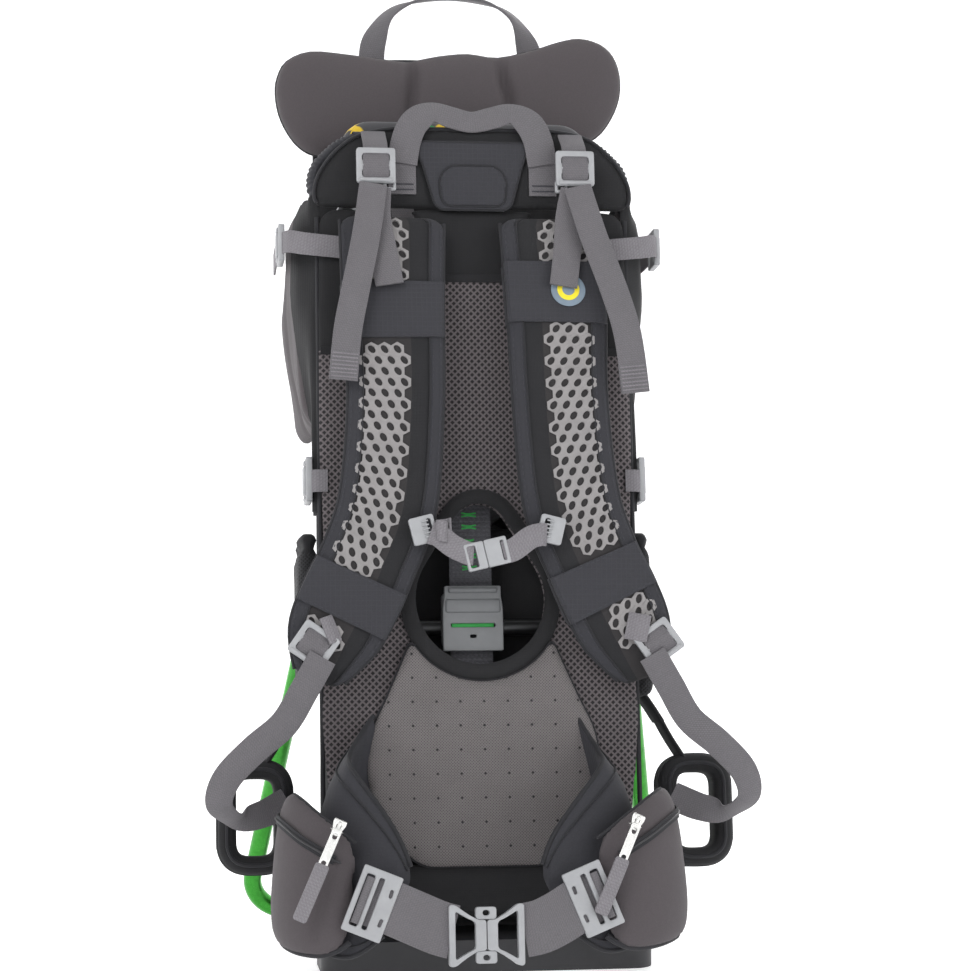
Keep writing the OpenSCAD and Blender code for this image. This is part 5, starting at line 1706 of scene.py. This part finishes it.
class CarrierColours(bpy.types.PropertyGroup):
    """Colours that a user would change."""
    softshell: FloatVectorProperty(name="Softshell", description="Head support, walls and pocket cloth",
                                   subtype="COLOR", default=shade("softshell", 0.66), min=0, max=1)
    black_fabric: FloatVectorProperty(name="Black cloth", description="Panels, storage bag and foot loops",
                                      subtype="COLOR", default=shade("black_fabric", 0.45), min=0, max=1)
    navy_fabric: FloatVectorProperty(name="Ripstop", description="Strap bands, cover patch and hip wings",
                                     subtype="COLOR", default=shade("navy_fabric", 0.45), min=0, max=1)
    webbing: FloatVectorProperty(name="Webbing", description="All the harness webbing",
                                 subtype="COLOR", default=shade("webbing", 0.58), min=0, max=1)
    plastic: FloatVectorProperty(name="Buckles", description="Moulded locks and buckles",
                                 subtype="COLOR", default=shade("grey_plastic", 0.62), min=0, max=1)
    kickstand: FloatVectorProperty(name="Kickstand", description="Anodised kickstand tube",
                                   subtype="COLOR", default=shade("green_metal", 0.5), min=0, max=1)


class CARRIER_OT_stage(bpy.types.Operator):
    """Makes the pale floor, the soft lights and the camera"""
    bl_idname = "carrier.stage"
    bl_label = "Stage"
    bl_options = {"REGISTER", "UNDO"}

    def execute(self, context):
        make_stage()
        return {"FINISHED"}


class CARRIER_OT_frame(bpy.types.Operator):
    """Gives the frame, kickstand and boot their finishes"""
    bl_idname = "carrier.frame"
    bl_label = "Frame finish"
    bl_options = {"REGISTER", "UNDO"}

    def execute(self, context):
        finish_frame()
        return {"FINISHED"}


class CARRIER_OT_back_panel(bpy.types.Operator):
    """Makes the mesh back panel, its bound opening and the lumbar pad"""
    bl_idname = "carrier.back_panel"
    bl_label = "Back panel"
    bl_options = {"REGISTER", "UNDO"}

    def execute(self, context):
        make_back_panel()
        return {"FINISHED"}


class CARRIER_OT_top(bpy.types.Operator):
    """Makes the top panel, cover patch, rim bolster and face pad"""
    bl_idname = "carrier.top"
    bl_label = "Top"
    bl_options = {"REGISTER", "UNDO"}

    def execute(self, context):
        make_top()
        return {"FINISHED"}


class CARRIER_OT_cockpit(bpy.types.Operator):
    """Makes the cockpit walls, the storage bag and the side pockets"""
    bl_idname = "carrier.cockpit"
    bl_label = "Cockpit and bag"
    bl_options = {"REGISTER", "UNDO"}

    def execute(self, context):
        make_cockpit()
        return {"FINISHED"}


class CARRIER_OT_head_support(bpy.types.Operator):
    """Makes the three-lobed head support cushion"""
    bl_idname = "carrier.head_support"
    bl_label = "Head support"
    bl_options = {"REGISTER", "UNDO"}

    def execute(self, context):
        make_head_support()
        return {"FINISHED"}


class CARRIER_OT_seat(bpy.types.Operator):
    """Makes the seat cushion and the child's harness"""
    bl_idname = "carrier.seat"
    bl_label = "Child seat"
    bl_options = {"REGISTER", "UNDO"}

    def execute(self, context):
        make_seat()
        return {"FINISHED"}


class CARRIER_OT_shoulder_straps(bpy.types.Operator):
    """Makes the padded shoulder straps with their lattice and bands"""
    bl_idname = "carrier.shoulder_straps"
    bl_label = "Shoulder straps"
    bl_options = {"REGISTER", "UNDO"}

    def execute(self, context):
        make_shoulder_straps()
        return {"FINISHED"}


class CARRIER_OT_webbing(bpy.types.Operator):
    """Makes the load lifters, side straps, ladder webbing and lower webbing"""
    bl_idname = "carrier.webbing"
    bl_label = "Webbing"
    bl_options = {"REGISTER", "UNDO"}

    def execute(self, context):
        make_webbing()
        return {"FINISHED"}


class CARRIER_OT_handles(bpy.types.Operator):
    """Makes the carry handle and the grab handle"""
    bl_idname = "carrier.handles"
    bl_label = "Handles"
    bl_options = {"REGISTER", "UNDO"}

    def execute(self, context):
        make_handles()
        return {"FINISHED"}


class CARRIER_OT_hip_belt(bpy.types.Operator):
    """Makes the hip wings, their pockets and the belt webbing"""
    bl_idname = "carrier.hip_belt"
    bl_label = "Hip belt"
    bl_options = {"REGISTER", "UNDO"}

    def execute(self, context):
        make_hip_belt()
        return {"FINISHED"}


class CARRIER_OT_locks(bpy.types.Operator):
    """Makes the four ladder locks of the harness"""
    bl_idname = "carrier.locks"
    bl_label = "Ladder locks"
    bl_options = {"REGISTER", "UNDO"}

    def execute(self, context):
        make_locks()
        return {"FINISHED"}


class CARRIER_OT_belt_hardware(bpy.types.Operator):
    """Makes the tri-glides and the hip buckle"""
    bl_idname = "carrier.belt_hardware"
    bl_label = "Belt hardware"
    bl_options = {"REGISTER", "UNDO"}

    def execute(self, context):
        make_belt_hardware()
        return {"FINISHED"}


class CARRIER_OT_sternum(bpy.types.Operator):
    """Makes the sternum strap, its clips and its buckle"""
    bl_idname = "carrier.sternum"
    bl_label = "Sternum strap"
    bl_options = {"REGISTER", "UNDO"}

    def execute(self, context):
        make_sternum()
        return {"FINISHED"}


class CARRIER_OT_side_hardware(bpy.types.Operator):
    """Makes the side buckles, the length slider and the zip pulls"""
    bl_idname = "carrier.side_hardware"
    bl_label = "Side hardware"
    bl_options = {"REGISTER", "UNDO"}

    def execute(self, context):
        make_side_hardware()
        return {"FINISHED"}


class CARRIER_OT_foot_loops(bpy.types.Operator):
    """Makes the padded foot loops"""
    bl_idname = "carrier.foot_loops"
    bl_label = "Foot loops"
    bl_options = {"REGISTER", "UNDO"}

    def execute(self, context):
        make_foot_loops()
        return {"FINISHED"}


class CARRIER_PT_parts(bpy.types.Panel):
    """Lists the carrier's sizes and colours and the operators that make its pieces"""
    bl_idname = "CARRIER_PT_parts"
    bl_label = "Baby carrier backpack"
    bl_space_type = "VIEW_3D"
    bl_region_type = "UI"
    bl_category = "Carrier"

    def draw(self, context):
        column = self.layout.column(align=True)
        for group, kept in ((CarrierSizes, context.scene.carrier_sizes), (CarrierColours, context.scene.carrier_colours)):
            for name in group.__annotations__:
                column.prop(kept, name)
        column.separator()
        for step in STEPS:
            column.operator(step.bl_idname)


STEPS = (CARRIER_OT_stage, CARRIER_OT_frame, CARRIER_OT_back_panel,
         CARRIER_OT_top, CARRIER_OT_cockpit, CARRIER_OT_head_support,
         CARRIER_OT_seat, CARRIER_OT_shoulder_straps, CARRIER_OT_webbing,
         CARRIER_OT_handles, CARRIER_OT_hip_belt, CARRIER_OT_locks,
         CARRIER_OT_belt_hardware, CARRIER_OT_sternum, CARRIER_OT_side_hardware,
         CARRIER_OT_foot_loops)
CLASSES = (CarrierSizes, CarrierColours, *STEPS, CARRIER_PT_parts)


def register():
    for kind in CLASSES:
        bpy.utils.register_class(kind)
    bpy.types.Scene.carrier_sizes = PointerProperty(type=CarrierSizes)
    bpy.types.Scene.carrier_colours = PointerProperty(type=CarrierColours)


def unregister():
    del bpy.types.Scene.carrier_colours
    del bpy.types.Scene.carrier_sizes
    for kind in reversed(CLASSES):
        bpy.utils.unregister_class(kind)


def main():
    register()
    for step in STEPS:
        getattr(bpy.ops.carrier, step.bl_idname.split(".")[1])()
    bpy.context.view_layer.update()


if __name__ == "__main__":
    main()
